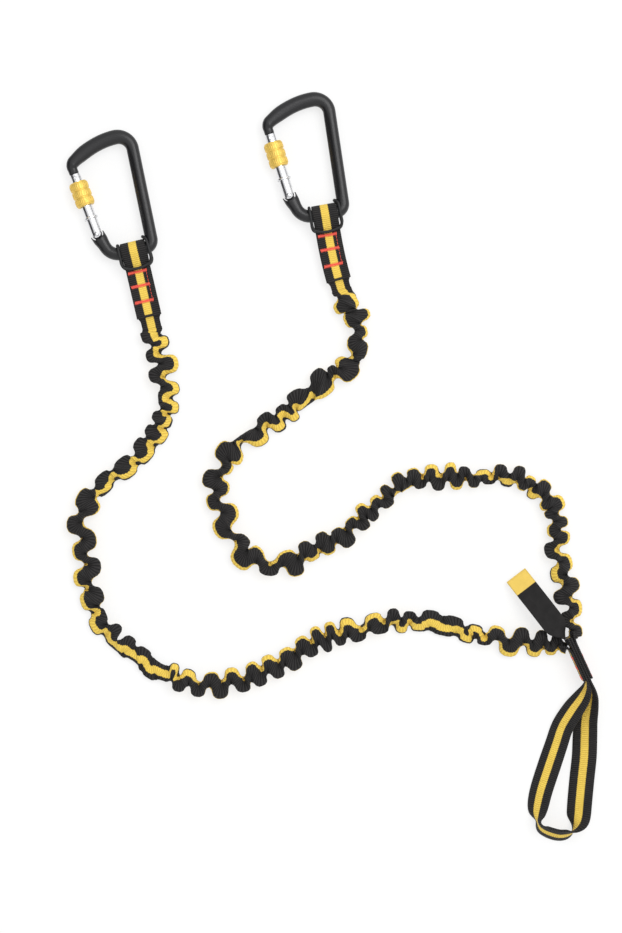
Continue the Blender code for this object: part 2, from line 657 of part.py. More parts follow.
def keeper_ear(reach, tuck):
    """Points of the right ear, from the front span over the bar to the back span."""
    beside = STRAP_WIDTH / 2 + KEEPER_SIDE_GAP + KEEPER_WIRE_RADIUS
    span_height = STRAP_THICKNESS + GAP + KEEPER_WIRE_RADIUS + EYE_CLEARANCE
    ear_height = BAR_RADIUS + GAP + KEEPER_WIRE_RADIUS + ARM_REST
    points = [Vector((beside - 2 * KEEPER_WIRE_RADIUS, -KEEPER_AT, span_height))]
    points.append(Vector((beside, -KEEPER_AT + 2 * KEEPER_WIRE_RADIUS, span_height + GAP)))
    for step in range(KEEPER_EAR_STEPS + 1):
        turn = math.radians(KEEPER_EAR_TURN * (1.0 - 2 * step / KEEPER_EAR_STEPS))
        c, s = math.cos(turn), math.sin(turn)
        points.append(Vector((
            beside - tuck * max(c, 0.0) ** 3,
            math.copysign(abs(c) ** KEEPER_ROUNDNESS_SHARE, c) * reach,
            math.copysign(abs(s) ** KEEPER_ROUNDNESS_SHARE, s) * ear_height,
        )))
    return points + [Vector((p.x, p.y, -p.z)) for p in reversed(points[:2])]


def add_keeper(side, place):
    """A closed rubber ring: across the webbing in front and behind, hooked over the bar."""
    left_reach = BAR_RADIUS + 2 * GAP + KEEPER_WIRE_RADIUS
    right_reach = left_reach + EYE_CLEARANCE + STRAP_THICKNESS
    path = keeper_ear(right_reach, KEEPER_TUCK)
    path += [Vector((-p.x, p.y, p.z)) for p in reversed(keeper_ear(left_reach, 0.0))]
    rings = []
    for index, point in enumerate(path):
        along = (path[(index + 1) % len(path)] - path[index - 1]).normalized()
        inwards = Vector((0.0, -KEEPER_AT / 2, 0.0)) - point
        first = (inwards - along * inwards.dot(along)).normalized()
        second = along.cross(first)
        turns = [math.tau * k / KEEPER_SIDES for k in range(KEEPER_SIDES)]
        rings.append([
            point + (first * math.cos(a) + second * math.sin(a)) * KEEPER_WIRE_RADIUS for a in turns
        ])
    tube(f"{side}_keeper_ring", rings, "black_rubber", place, closed=True)


# Gathered arms
def measured(curve):
    """The curve's points with the distance travelled at each."""
    distances = [0.0]
    for a, b in zip(curve, curve[1:]):
        distances.append(distances[-1] + (b - a).length)
    return distances


def place_on(curve, distances, distance):
    """The point and the direction at a distance along a curve."""
    index = 1
    while index < len(curve) - 1 and distances[index] < distance:
        index += 1
    a, b = curve[index - 1], curve[index]
    share = (distance - distances[index - 1]) / (distances[index] - distances[index - 1])
    before, after = curve[max(index - 2, 0)], curve[min(index + 1, len(curve) - 1)]
    return a.lerp(b, share), (after - before).normalized()


def arm_section(curve, distances, waves, step, rings):
    """One ring's place: middle, left, how full the folds are there, and its phase."""
    length = distances[-1]
    wavy = length - 2 * ARM_END_RUN
    distance = ARM_END_RUN + wavy * step / (waves * rings)
    at, direction = place_on(curve, distances, min(max(distance, 0.0), length))
    fold = min(1.0, step / rings, (waves * rings - step) / rings)
    return at, left_of(direction), max(fold, 0.0), math.tau * step / rings


def outer_ring(at, left, fold, phase):
    """A six-sided ring that is deep notched on one side and full on the other."""
    half = (ARM_END_WIDTH + (FOLD_WIDTH - ARM_END_WIDTH) * fold) / 2
    right_notch = ((1.0 + math.cos(phase)) / 2) ** 2
    left_notch = ((1.0 - math.cos(phase)) / 2) ** 2
    low = -half + FOLD_DEPTH * fold * right_notch
    high = half - FOLD_DEPTH * fold * left_notch
    draw = (high - low) * FOLD_SHOULDER_SHARE
    bottom, top = ARM_REST, ARM_REST + ARM_HEIGHT
    middle = (bottom + top) / 2
    corners = [
        (high, middle), (high - draw, top), (low + draw, top),
        (low, middle), (low + draw, bottom), (high - draw, bottom),
    ]
    return [at + left * out + Vector((0.0, 0.0, up)) for out, up in corners]


def inner_ring(at, left, fold, phase, radius, pitch):
    """A four-sided ring that sways with the folds, as wide as its slant makes it."""
    sway = -CORE_SWAY * fold * math.cos(phase)
    slant = CORE_SWAY * fold * math.tau / pitch * math.sin(phase)
    half = radius * math.hypot(1.0, slant)
    middle = ARM_REST + ARM_HEIGHT / 2
    corners = [
        (-sway + half, middle + radius), (-sway - half, middle + radius),
        (-sway - half, middle - radius), (-sway + half, middle - radius),
    ]
    return [at + left * out + Vector((0.0, 0.0, up)) for out, up in corners]


def end_cap(outer, inner):
    """The flat ring of faces between a tube's outer and inner edge."""
    faces, i, j = [], 0, 0
    while i < len(outer) or j < len(inner):
        here, there = outer[i % len(outer)], inner[j % len(inner)]
        if j == len(inner) or (i < len(outer) and (i + 1) / len(outer) <= (j + 1) / len(inner)):
            i += 1
            faces.append((here, outer[i % len(outer)], there))
        else:
            j += 1
            faces.append((here, inner[j % len(inner)], there))
    return faces


def least_gap(rings):
    """The least distance between two neighbouring folds, on the rings' corner points."""
    nearest = math.inf
    for index, ring in enumerate(rings):
        other = rings[index + FOLD_RINGS] if index + FOLD_RINGS < len(rings) else None
        if other is not None:
            nearest = min(nearest, min((a - b).length for a in ring for b in other))
    return nearest


def add_arm(side, route, start, start_direction, end, end_direction):
    """The gathered sheath with its bore, and the elastic core inside it."""
    level = Vector((1.0, 1.0, 0.0))
    first, last = start * level + start_direction * GAP, end * level + end_direction * GAP
    points = [first + start_direction * ARM_END_RUN]
    points += [Vector((x, y, 0.0)) for x, y in route]
    points += [last + end_direction * ARM_END_RUN]
    curve = [first, *smooth(points, ROUTE_STEPS), last]
    distances = measured(curve)
    wavy = distances[-1] - 2 * ARM_END_RUN
    waves = max(round(wavy / FOLD_PITCH), 1)
    pitch = wavy / waves

    def sections(rings):
        ends = (-ARM_END_RUN / pitch * rings, (waves + ARM_END_RUN / pitch) * rings)
        steps = [ends[0], *range(waves * rings + 1), ends[1]]
        return [arm_section(curve, distances, waves, step, rings) for step in steps]

    outer = [outer_ring(*section) for section in sections(FOLD_RINGS)]
    bore = [inner_ring(*section, BORE_RADIUS, pitch) for section in sections(BORE_RINGS)]
    core = [inner_ring(*section, CORE_RADIUS, pitch) for section in sections(BORE_RINGS)]
    points = [point for ring in outer + bore for point in ring]
    count = len(outer) * len(outer[0])
    faces = ring_faces(len(outer), len(outer[0]), False)[:-2]
    faces += [tuple(count + i for i in face) for face in ring_faces(len(bore), len(bore[0]), False)[:-2]]
    for outer_at, bore_at in ((0, count), (count - len(outer[0]), len(points) - len(bore[0]))):
        faces += end_cap(
            list(range(outer_at, outer_at + len(outer[0]))), list(range(bore_at, bore_at + len(bore[0]))),
        )
    add_mesh(f"{side}_arm_sheath", points, faces, "black_webbing")
    tube(f"{side}_arm_elastic_core", core, "elastic")
    print(f"{side} arm: {distances[-1]:.4f} m along its route, {waves} folds")
    print(f"{side} arm: least gap between folds {least_gap(outer) * 1000:.2f} mm")


# Sewn junction
def stack_place(distance, lane):
    """A place in the stack: distance from the loop's end, lane counted to the right."""
    along = heading(STACK_HEADING)
    middle = left_of(along) * (-LANE / 2)
    return middle + along * (distance - STACK_LENGTH / 2) - left_of(along) * lane * LANE


def add_arm_ply(side, lane, straight, radius, towards, run):
    """An arm's flat sewn end: on edge in the stack, then round to meet the gathered part."""
    half, end_half = STRAP_WIDTH / 2, ARM_HEIGHT / 2
    stations = []
    for share in (0.0, 0.5, 1.0):
        at = stack_place(ARM_PLY_START + (straight - ARM_PLY_START) * share, lane)
        stations.append((at + Vector((0.0, 0.0, half)), Vector((0.0, 0.0, 1.0)), half))
    turn = towards - STACK_HEADING
    side_sign = math.copysign(1.0, turn)
    middle = at + left_of(heading(STACK_HEADING)) * radius * side_sign
    for step in range(1, PLY_ARC_STEPS + 1):
        share = step / PLY_ARC_STEPS
        now = heading(STACK_HEADING + turn * share)
        size = half + (end_half - half) * share
        at = middle - left_of(now) * radius * side_sign + Vector((0.0, 0.0, size + ARM_REST * share))
        stations.append((at, Vector((0.0, 0.0, 1.0)), size))
    last = at + heading(towards) * run
    stations.append((last, Vector((0.0, 0.0, 1.0)), end_half))
    strap(f"{side}_arm_sewn_end", stations, STRAP_THICKNESS, "black_webbing")
    return last, heading(towards)


def add_loop():
    """The attachment loop: one strap from the stack, round and back into it."""
    half = STRAP_WIDTH / 2
    origin = stack_place(0.0, 0.0)
    knots = [(stack_place(STACK_LENGTH, -0.5), 0.0, 0.0), (stack_place(0.0, -0.5), 0.0, 0.0)]
    for right, down, lean, lift in LOOP_SHARES:
        at = origin + Vector((right * LOOP_SPREAD, -down * LOOP_LENGTH, 0.0))
        knots.append((at, lean, lift * STRAP_WIDTH))
    knots += [(stack_place(0.0, 0.5), 0.0, 0.0), (stack_place(STACK_LENGTH, 0.5), 0.0, 0.0)]
    flat = [at for at, _, _ in knots]
    curve = [flat[0], *smooth(flat[1:-1], LOOP_STEPS), flat[-1]]
    bands = [Vector(knots[0][1:])]
    for before, after in zip(knots[1:-1], knots[2:-1]):
        step_shares = [step / LOOP_STEPS for step in range(LOOP_STEPS)]
        bands += [Vector(before[1:]).lerp(Vector(after[1:]), share) for share in step_shares]
    bands += [Vector(knots[-2][1:]), Vector(knots[-1][1:])]
    stations = []
    for index, (point, (lean, lift)) in enumerate(zip(curve, bands)):
        travel = curve[min(index + 1, len(curve) - 1)] - curve[max(index - 1, 0)]
        travel = Vector((travel.x, travel.y, 0.0)).normalized()
        if index in (0, 1):
            travel = -heading(STACK_HEADING)
        if index > len(curve) - 3:
            travel = heading(STACK_HEADING)
        height = lean_height(half, lean, STRAP_THICKNESS) + lift
        middle = point + Vector((0.0, 0.0, height))
        stations.append((middle, leaned(travel, lean), half))
    strap("harness_loop", stations, STRAP_THICKNESS, "black_webbing")


def add_label():
    """The folded label: out along its upper layer, round the fold and back underneath."""
    spread = (LABEL_THICKNESS + GAP) / 2
    root = stack_place(LABEL_START, -OUTER_LANE)
    exit_place = stack_place(STACK_LENGTH, -OUTER_LANE)
    places = [(root, heading(STACK_HEADING), *LABEL_SHARES[0][1:])]
    for along, width, lean, height in LABEL_SHARES:
        at = exit_place + heading(LABEL_HEADING) * (along * LABEL_LENGTH)
        places.append((at, heading(LABEL_HEADING if along else STACK_HEADING), width, lean, height))
    upper, lower = [], []
    for at, direction, width, lean, height in places:
        across = leaned(direction, lean)
        middle = at + Vector((0.0, 0.0, height * LABEL_WIDTH))
        face = direction.cross(across).normalized() * spread
        upper.append((middle - face, across, width * LABEL_WIDTH / 2))
        lower.append((middle + face, across, width * LABEL_WIDTH / 2))
    tip = (upper[-1][0] + lower[-1][0]) / 2 + heading(LABEL_HEADING) * spread
    fold = (tip, upper[-1][1], upper[-1][2])
    strap("label", [*upper, fold, *reversed(lower)], LABEL_THICKNESS, "label_tape")


def add_junction_tacks(side, sign):
    """Three bar tacks and their thread line, on one outer face of the stack."""
    along_stack = heading(STACK_HEADING)

    def place(along, across, out):
        face = 2 * LANE - GAP / 2 + GAP + out
        at = stack_place(along, 0.0) - left_of(along_stack) * face * sign
        return at + Vector((0.0, 0.0, STRAP_WIDTH / 2 + across))

    comb(f"{side}_junction_bar_tacks", JUNCTION_TACKS_AT, place)


def add_end(side, end):
    """A carabiner with its eye, stitching and keeper ring."""
    place = Matrix.Translation((*end["at"], BAR_HEIGHT)) @ Matrix.Rotation(
        math.radians(end["tilt"]), 4, "Z"
    )
    gate_place = place @ Matrix.Translation(hinge_points()[3]) @ Matrix.Rotation(
        math.radians(GATE_TILT), 4, "Z"
    )
    add_frame(side, place, gate_place)
    add_gate(side, gate_place)
    add_spring(side, gate_place)
    add_sleeve(side, gate_place)
    add_eye(side, end)
    add_eye_tacks(side, end)
    add_keeper(side, place)
    return stem_place(end, end["stem"])


def main():
    clear_scene()
    left_start = add_end("left", LEFT_END)
    right_start = add_end("right", RIGHT_END)
    left_end = add_arm_ply(
        "left", -OUTER_LANE, LEFT_PLY_STRAIGHT, LEFT_PLY_TURN_RADIUS, LEFT_PLY_HEADING, LEFT_PLY_RUN,
    )
    right_end = add_arm_ply(
        "right", OUTER_LANE, RIGHT_PLY_STRAIGHT, RIGHT_PLY_TURN_RADIUS, RIGHT_PLY_HEADING, RIGHT_PLY_RUN,
    )
    add_arm("left", LEFT_ROUTE, *left_start, *left_end)
    add_arm("right", RIGHT_ROUTE, *right_start, *right_end)
    add_loop()
    add_label()
    add_junction_tacks("left", -1)
    add_junction_tacks("right", 1)


main()
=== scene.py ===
"""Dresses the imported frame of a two-arm elastic lanyard with screw gate carabiners.

Every piece lies where the frame's own node lies. All lengths are in metres, +X and +Y lie in
the surface that the lanyard rests on, +Z is up, and the origin is under the sewn junction.
"""

import math

import bmesh
import bpy
import numpy as np
from bpy.props import FloatProperty, FloatVectorProperty, IntProperty, PointerProperty
from mathutils import Matrix, Vector


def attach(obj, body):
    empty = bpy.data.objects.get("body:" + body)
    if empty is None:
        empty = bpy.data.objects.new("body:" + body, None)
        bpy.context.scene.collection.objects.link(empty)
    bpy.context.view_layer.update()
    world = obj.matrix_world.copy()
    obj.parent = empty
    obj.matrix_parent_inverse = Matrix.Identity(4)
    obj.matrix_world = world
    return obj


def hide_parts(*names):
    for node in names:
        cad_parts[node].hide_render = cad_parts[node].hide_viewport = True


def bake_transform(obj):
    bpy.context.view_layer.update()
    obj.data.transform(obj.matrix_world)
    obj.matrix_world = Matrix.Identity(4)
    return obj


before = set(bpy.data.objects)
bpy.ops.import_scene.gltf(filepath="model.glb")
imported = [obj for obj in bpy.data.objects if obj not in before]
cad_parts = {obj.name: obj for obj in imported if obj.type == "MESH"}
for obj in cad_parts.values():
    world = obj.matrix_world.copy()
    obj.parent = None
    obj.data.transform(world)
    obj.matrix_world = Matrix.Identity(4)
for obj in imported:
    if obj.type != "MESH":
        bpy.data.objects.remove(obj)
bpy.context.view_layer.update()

bl_info = {
    "name": "Two-arm elastic lanyard",
    "version": (1, 0, 0),
    "blender": (4, 5, 0),
    "location": "3D View > Sidebar > Lanyard",
    "description": "Dresses a two-arm elastic lanyard with screw gate carabiners",
    "category": "Object",
}

SIDES = ("left", "right")
GAP = 0.0003
MM = 1000.0  # the weave's coordinates are in millimetres
POLE = 1e-6  # radius of a turned body where its profile meets the axis
WELD = 5e-6  # vertices nearer to each other than this are one
OVERCUT = 0.002  # how far a cutter reaches past what it cuts

# Webbing
STRAP_WIDTH = 0.016
STRAP_THICKNESS = 0.0013
TUBE_GIRTH = 32.0  # round the gathered tube, millimetres
ARM_REST = 0.0001
ROW_STEP = 0.00065  # along the webbing, between two rows of vertices
ROW_RELIEF = 0.00006  # how far a rib stands out
WARP_PITCH = 0.62  # between two warp threads, millimetres
STRIPE_SOFTNESS = 0.15  # of the stripe's edges, millimetres

# Carabiner frame, in its own place: x along the bar, y into the D, z up
BAR_RADIUS = 0.004
BAR_LEFT = 0.0082
BAR_RIGHT = 0.0074
SPINE_CORNER_RADIUS = 0.0052
SPINE_LENGTH = 0.0587
SPINE_LEAN = 1.4
SPINE_WIDTH = 0.008
SPINE_FACET_START = 0.12  # of its half width, towards the inside
SPINE_FACET_DROP = 0.3
TOP_CORNER_RADIUS = 0.0096
TOP_WIDTH = 0.0094
HINGE_CORNER_RADIUS = 0.0096
HINGE_CORNER_TURN = 70.0
HINGE_REACH = 0.0098
HINGE_CUP_WIDTH = 0.0094
HINGE_CUP_RADIUS = 0.00405
NOSE_BEND_RADIUS = 0.001
NOSE_BEND_TURN = 64.0
NOSE_BEND_WIDTH = 0.008
NECK_LENGTH = 0.0026
NECK_WIDTH = 0.0062
TONGUE_THICKNESS = 0.003
HINGE_TONGUE_WIDTH = 0.0052
HINGE_TONGUE_END = 0.003
HOOK_WIDTH = 0.0058
HOOK_LENGTH = 0.0054
NOSE_CLEARANCE = 0.0004
NOSE_EDGE = 0.0004
ROD_SIDES = 40
ROD_ROUNDNESS = 0.85
ROD_SHARP = 32.0  # degrees from which an edge of the frame shows
TONGUE_ROUNDNESS = 0.3

# Gate, from the rivet along the gate
GATE_RADIUS = 0.00365
GATE_LENGTH = 0.041
GATE_TILT = 7.6
GATE_SIDES = 48
GATE_EDGE = 0.0005
GATE_SHOULDER = 0.008  # where its tube runs straight, past the round hinge end
GATE_SHARP = 30.0
HOLE_SIDES = 32
CUP_SIDES = 64
BORE_SIDES = 24
HINGE_SLOT_DEPTH = 0.0043
HOOK_SLOT_DEPTH = 0.006
SPRING_BORE_RADIUS = 0.0016
SPRING_BORE_LENGTH = 0.0157
SPRING_START = 0.0088  # on the follower
SPRING_RADIUS = 0.00105
SPRING_WIRE_RADIUS = 0.0002
SPRING_TURNS = 7
SPRING_CLOSED = 0.9  # turns that lie close together at each end
SPRING_SIDES = 8
SPRING_STEPS = 24  # round each turn
RIVET_RADIUS = 0.0012
RIVET_STAND_OUT = 0.0003
RIVET_DOME = ((0.0, 0.0), (0.45, 0.00004), (0.8, 0.00014), (1.0, 0.00034))  # radius share, drop
LATCH_PIN_RADIUS = 0.001
LATCH_PIN_INSET = 0.0025
SLEEVE_RADIUS = 0.00615
SLEEVE_LENGTH = 0.016
SLEEVE_START = 0.0195
SLEEVE_BANDS = 3
SLEEVE_GROOVE = 0.0009
SLEEVE_GROOVE_DEPTH = 0.0006
SLEEVE_EDGE = 0.0003
SLEEVE_SIDES = 72
KNURL_INSET = 0.0002  # of a ridge's ends from its band's edges
KNURL_HALF_WIDTH = 0.00042
STOP_RING_RADIUS = 0.0046
STOP_RING_WIDTH = 0.0014
STOP_RING_AT = 0.0112
STOP_RING_EDGE = 0.0003
STOP_RING_SIDES = 48

# Webbing eye, stitching and keeper ring
EYE_CLEARANCE = 0.0008
EYE_CLOSE = 0.0115
EYE_TOP_END = 0.0434
EYE_TACKS_AT = (0.0137, 0.0228, 0.0331)
EYE_TACK_SHIFT = 0.0008
EYE_NARROWS = (-0.002, 0.0025)  # from the upper ply's end, the stretch where the stem narrows
PAINTED_END_SHADOW = 0.0016  # of the eye's upper ply, left without a stripe: a painted shadow where the ply ends
STEM_STRAIGHT = 0.015
STEM_END_WIDTH = 0.0124
STEM_TUCK = 0.0012  # how far the stem runs on inside the gathered tube
TACK_LENGTH = 0.0118
TACK_WIDTH = 0.0026
TACK_ZIGZAG = 12.0  # degrees to either side
LINE_STITCH = 0.0019
LINE_SPACING = 0.0021
LINE_INSET = 0.0004  # from the tacks' ends
THREAD_LIFT = 0.0001  # above the webbing
KEEPER_RADIUS = 0.00095
KEEPER_WIRE_RADIUS = 0.0009
KEEPER_AT = 0.011
KEEPER_SIDE_GAP = 0.0005
KEEPER_TUCK = 0.0021
KEEPER_BULGE = 0.0005  # of the right ear, beside the webbing
KEEPER_SAG = 0.0008
KEEPER_ROUNDNESS = 0.6
KEEPER_EAR_TURN = 120.0
KEEPER_EAR_STEPS = 10
KEEPER_SIDES = 16
BAR_HEIGHT = BAR_RADIUS + EYE_CLEARANCE + STRAP_THICKNESS + ARM_REST

ENDS = {
    "left": {"at": (-0.2835, 0.2618), "tilt": 13.1, "stem": 0.0504, "turn": 0.0},
    "right": {"at": (-0.1613, 0.2854), "tilt": 9.9, "stem": 0.0490, "turn": 7.0},
}

# Gathered arms: the middle line of each, between its two straight ends
ARM_HEIGHT = 0.0124
ARM_END_RUN = 0.009
ROUTES = {
    "left": [
        (-0.2682, 0.1971), (-0.2656, 0.1869), (-0.2650, 0.1760), (-0.2630, 0.1664),
        (-0.2650, 0.1536), (-0.2720, 0.1408), (-0.2810, 0.1299), (-0.2912, 0.1216),
        (-0.3014, 0.1133), (-0.3110, 0.1050), (-0.3155, 0.0947), (-0.3162, 0.0819),
        (-0.3149, 0.0678), (-0.3130, 0.0525), (-0.3104, 0.0397), (-0.3059, 0.0262),
        (-0.2989, 0.0147), (-0.2880, 0.0058), (-0.2752, -0.0032), (-0.2637, -0.0096),
        (-0.2509, -0.0134), (-0.2368, -0.0154), (-0.2221, -0.0141), (-0.2093, -0.0109),
        (-0.1965, -0.0051), (-0.1837, 0.0013), (-0.1709, 0.0096), (-0.1581, 0.0154),
        (-0.1440, 0.0186), (-0.1293, 0.0224), (-0.1146, 0.0243), (-0.0992, 0.0243),
        (-0.0845, 0.0224), (-0.0698, 0.0179), (-0.0557, 0.0147), (-0.0416, 0.0115),
    ],
    "right": [
        (-0.1446, 0.2221), (-0.1414, 0.2125), (-0.1395, 0.2022), (-0.1427, 0.1926),
        (-0.1498, 0.1850), (-0.1594, 0.1786), (-0.1690, 0.1715), (-0.1786, 0.1645),
        (-0.1882, 0.1568), (-0.1984, 0.1504), (-0.2080, 0.1440), (-0.2176, 0.1370),
        (-0.2246, 0.1280), (-0.2291, 0.1171), (-0.2298, 0.1056), (-0.2266, 0.0934),
        (-0.2214, 0.0813), (-0.2138, 0.0704), (-0.2029, 0.0634), (-0.1901, 0.0621),
        (-0.1773, 0.0653), (-0.1645, 0.0723), (-0.1530, 0.0781), (-0.1434, 0.0858),
        (-0.1338, 0.0941), (-0.1229, 0.1024), (-0.1120, 0.1114), (-0.1005, 0.1158),
        (-0.0877, 0.1171), (-0.0736, 0.1171), (-0.0589, 0.1171), (-0.0442, 0.1165),
        (-0.0314, 0.1126), (-0.0205, 0.1050), (-0.0147, 0.0947), (-0.0128, 0.0832),
        (-0.0122, 0.0704), (-0.0096, 0.0576), (-0.0070, 0.0460), (-0.0038, 0.0365),
    ],
}
ROUTE_STEPS = 8
SEWN_OVERLAP = 3  # stations of the flat sewn end that the gathered tube covers
TRAVEL_REACH = 0.004  # to either side, over which a route's direction is taken
TRAVEL_LEAST = 0.001
CORD_POINTS = 180
ARM_SEEDS = {"left": 20, "right": 21}
SEARCH_STEPS = 600

# Tips of the folds, read in the photograph's pixels: right, down, and how far the
# stripe is rolled up from the tube's left side, in degrees, negative where it shows right
PIXEL = 0.00064
ORIGIN_PIXEL = (577.0, 660.0)
FOLD_TIPS = {
    "left": [
        (141, 338, 72), (169, 339, 60), (146, 358, 50), (178, 361, 35), (148, 374, 38),
        (179, 386, 48), (158, 400, 62), (179, 409, 58), (152, 415, 50), (172, 424, 52),
        (146, 427, 60), (167, 438, 58), (136, 440, 62), (150, 460, 60), (120, 458, 64),
        (132, 477, 60), (100, 474, 58), (106, 494, 58), (77, 495, 5),
        (100, 509, 10), (66, 525, 0), (97, 540, -10), (72, 552, -28), (101, 565, -25),
        (73, 580, -30), (104, 595, -35), (80, 603, -52), (106, 613, -58), (90, 630, -60),
        (121, 626, -62), (111, 648, -62), (132, 637, -80), (133, 662, -85), (146, 649, -88),
        (148, 679, -88), (161, 664, -90), (162, 681, -100), (176, 664, 50), (177, 692, 40),
        (188, 669, 45), (197, 697, 28), (212, 672, 8), (221, 699, 25), (230, 668, 25),
        (246, 692, 30), (250, 662, 25), (263, 686, 30), (265, 656, 30), (281, 678, 30),
        (283, 649, 28), (298, 670, 30), (299, 637, 30), (316, 656, 30), (313, 627, 12),
        (330, 652, 25), (328, 622, 30), (341, 646, 38), (344, 618, 60), (359, 642, 50),
        (374, 613, 40), (382, 634, 45), (393, 608, -40), (403, 634, -48), (409, 611, -55),
        (416, 632, -62), (430, 610, -80), (443, 636, -85), (458, 617, -72), (468, 644, -58),
        (477, 625, 52), (481, 645, 48), (498, 626, 28), (508, 657, -45), (523, 627, -20),
        (535, 658, -35), (543, 630, -20), (551, 656, -30), (557, 634, -20), (563, 654, -8),
    ],
    "right": [
        (358, 299, 50), (335, 312, -12), (370, 312, 25), (344, 321, -15), (368, 330, 30), (347, 343, 10),
        (368, 350, -22), (336, 359, -48), (355, 379, 5), (330, 366, 35), (330, 394, 38),
        (316, 369, 42), (303, 409, 62), (289, 393, 52), (298, 420, 62), (279, 406, 60),
        (283, 431, 58), (263, 413, 42), (265, 444, 55), (243, 434, 22), (241, 463, 35),
        (217, 446, 10), (233, 470, 15), (202, 479, 15), (230, 488, 10), (206, 503, -14),
        (238, 509, 18), (213, 531, -14), (249, 539, -15), (237, 568, -28), (258, 546, 22),
        (268, 576, 25), (287, 550, 14), (299, 576, 0), (301, 542, -5), (316, 560, -24),
        (320, 532, -15), (331, 555, -14), (334, 529, 0), (352, 546, 12), (349, 518, 16),
        (369, 528, 12), (357, 505, 16), (376, 521, 15), (373, 496, 26), (392, 506, 0),
        (381, 486, -5), (398, 494, -12), (394, 473, 0), (406, 490, 6), (411, 468, 16),
        (421, 489, 30), (431, 464, 35), (439, 491, 42), (452, 462, 35), (457, 490, -32),
        (463, 466, -18), (474, 488, 12), (484, 469, 42), (488, 485, 42), (500, 464, -12),
        (507, 487, -52), (522, 466, -10), (521, 491, -5), (533, 476, 30), (529, 498, -50),
        (547, 480, 10), (541, 509, -20), (565, 501, 26), (544, 515, 0), (569, 522, 6),
        (547, 531, 0), (571, 536, 12), (544, 550, 40), (573, 561, 18), (551, 577, -50),
        (580, 583, -8), (554, 600, 25), (583, 609, 35), (560, 621, 25), (583, 632, 10),
    ],
}
FOLD_NOTCH = (-0.0006, 0.0024)  # a fold's inner edge past the route, rolled down and up
FOLD_RETURN = 0.0035  # how far the tube comes back between two folds on the same side
FOLD_LEAST = 0.003  # between two folds on the same side
FOLD_SEARCH = (-0.022, 0.035)  # along the route from the fold before
FOLD_DEPTH = (-0.0006, 0.0010)  # random, added to the inner edge
FOLD_SPREAD = 0.009  # at most
CROSSING_LEAST = 0.0072  # width of the tube between two folds
CROSSING_LOSS = 0.72  # of it for each length of gap to the next fold
CROSSING_ROWS = 0.55  # share of the edges' lengths that has rows
FOLD_FAN = 1.12  # how far the rows of a fold fan out from its inner edge
FOLD_BULGE = 0.16
FOLD_BULGE_LEAST = 0.0055
FOLD_SLOPE = 0.11
FOLD_DIP = 0.75  # how far the stripe may roll back between two folds
FOLD_SIDES = 28
CROSSING_SWELL = 0.14
BAND_HALF = 0.0066  # half width where the tube lies flat
BAND_SHARE = 0.62  # of it that a fold keeps there
TUBE_HALF = (0.0052, 0.0062)  # half of the tube's height on edge, at a fold and between two
TUBE_LOFT = 0.0027  # half of its thickness
TUBE_END_HALF = 0.0028
TUBE_END_LOFTS = (0.34, 0.8)
FULL_LOFT = 0.9  # above which a row is clear of the arm's ends
END_FAN = 0.3  # how far the rows fan out near the ends
FLAT_FROM = 0.8  # sine of the roll from which the tube begins to lie flat
CRUMPLE_HEIGHT = 0.05  # of the tube's height
CRUMPLE_ROWS = (9, 6)  # between two values, of the height and of the shift
TUBE_HALF_LEAST = (0.0019, 0.0008)  # half of its width, in the folds and near its ends
TUBE_TILT = 0.78
STEM_BLEND = 0.02  # over which the tube comes down from the stem
CRUMPLE = 0.00022
ROLL_WOBBLE = 14.0  # degrees
CORE_RADIUS = 0.001
CORE_SIDES = 12
CORE_SWAY = 0.42  # of the tube's own sway

# Sewn junction
STACK_LENGTH = 0.031
STACK_HEADING = 114.4
LANE = STRAP_THICKNESS + GAP
ARM_PLY_START = 0.002
PLIES = {
    "left": {"lane": -1.5, "straight": 0.022, "radius": 0.006, "heading": 177.4, "run": 0.003},
    "right": {"lane": 1.5, "straight": 0.0245, "radius": 0.02, "heading": 94.0, "run": 0.0025},
}
PLY_ARC_STEPS = 5
JUNCTION_TACKS_AT = (0.004, 0.011, 0.018)
PRESSED_THICKNESS = STRAP_THICKNESS + 0.75 * GAP

# Attachment loop: right, down, lean and lift, as shares of its spread, length and width
LOOP_LENGTH = 0.103
LOOP_SPREAD = 0.045
LOOP_SHARES = [
    (-0.042, 0.050, 18, 0.06), (-0.113, 0.106, 36, 0.16), (-0.236, 0.181, 48, 0.19),
    (-0.366, 0.280, 52, 0.08), (-0.448, 0.391, 55, 0.0), (-0.548, 0.522, 58, 0.0),
    (-0.655, 0.665, 56, 0.0), (-0.708, 0.760, 50, 0.0), (-0.728, 0.820, 34, 0.0),
    (-0.712, 0.868, 4, 0.0), (-0.640, 0.918, 26, 0.0), (-0.440, 0.952, 32, 0.0),
    (-0.285, 0.945, 26, 0.0), (-0.188, 0.912, -8, 0.0), (-0.132, 0.845, -64, 0.0),
    (-0.108, 0.745, -75, 0.0), (-0.078, 0.609, -77, 0.0), (-0.045, 0.472, -76, 0.0),
    (-0.036, 0.348, -72, 0.0), (-0.029, 0.249, -62, 0.0), (0.000, 0.168, -48, 0.0),
    (0.036, 0.099, -28, 0.0), (0.042, 0.050, -12, 0.0),
]
LOOP_STEPS = 12

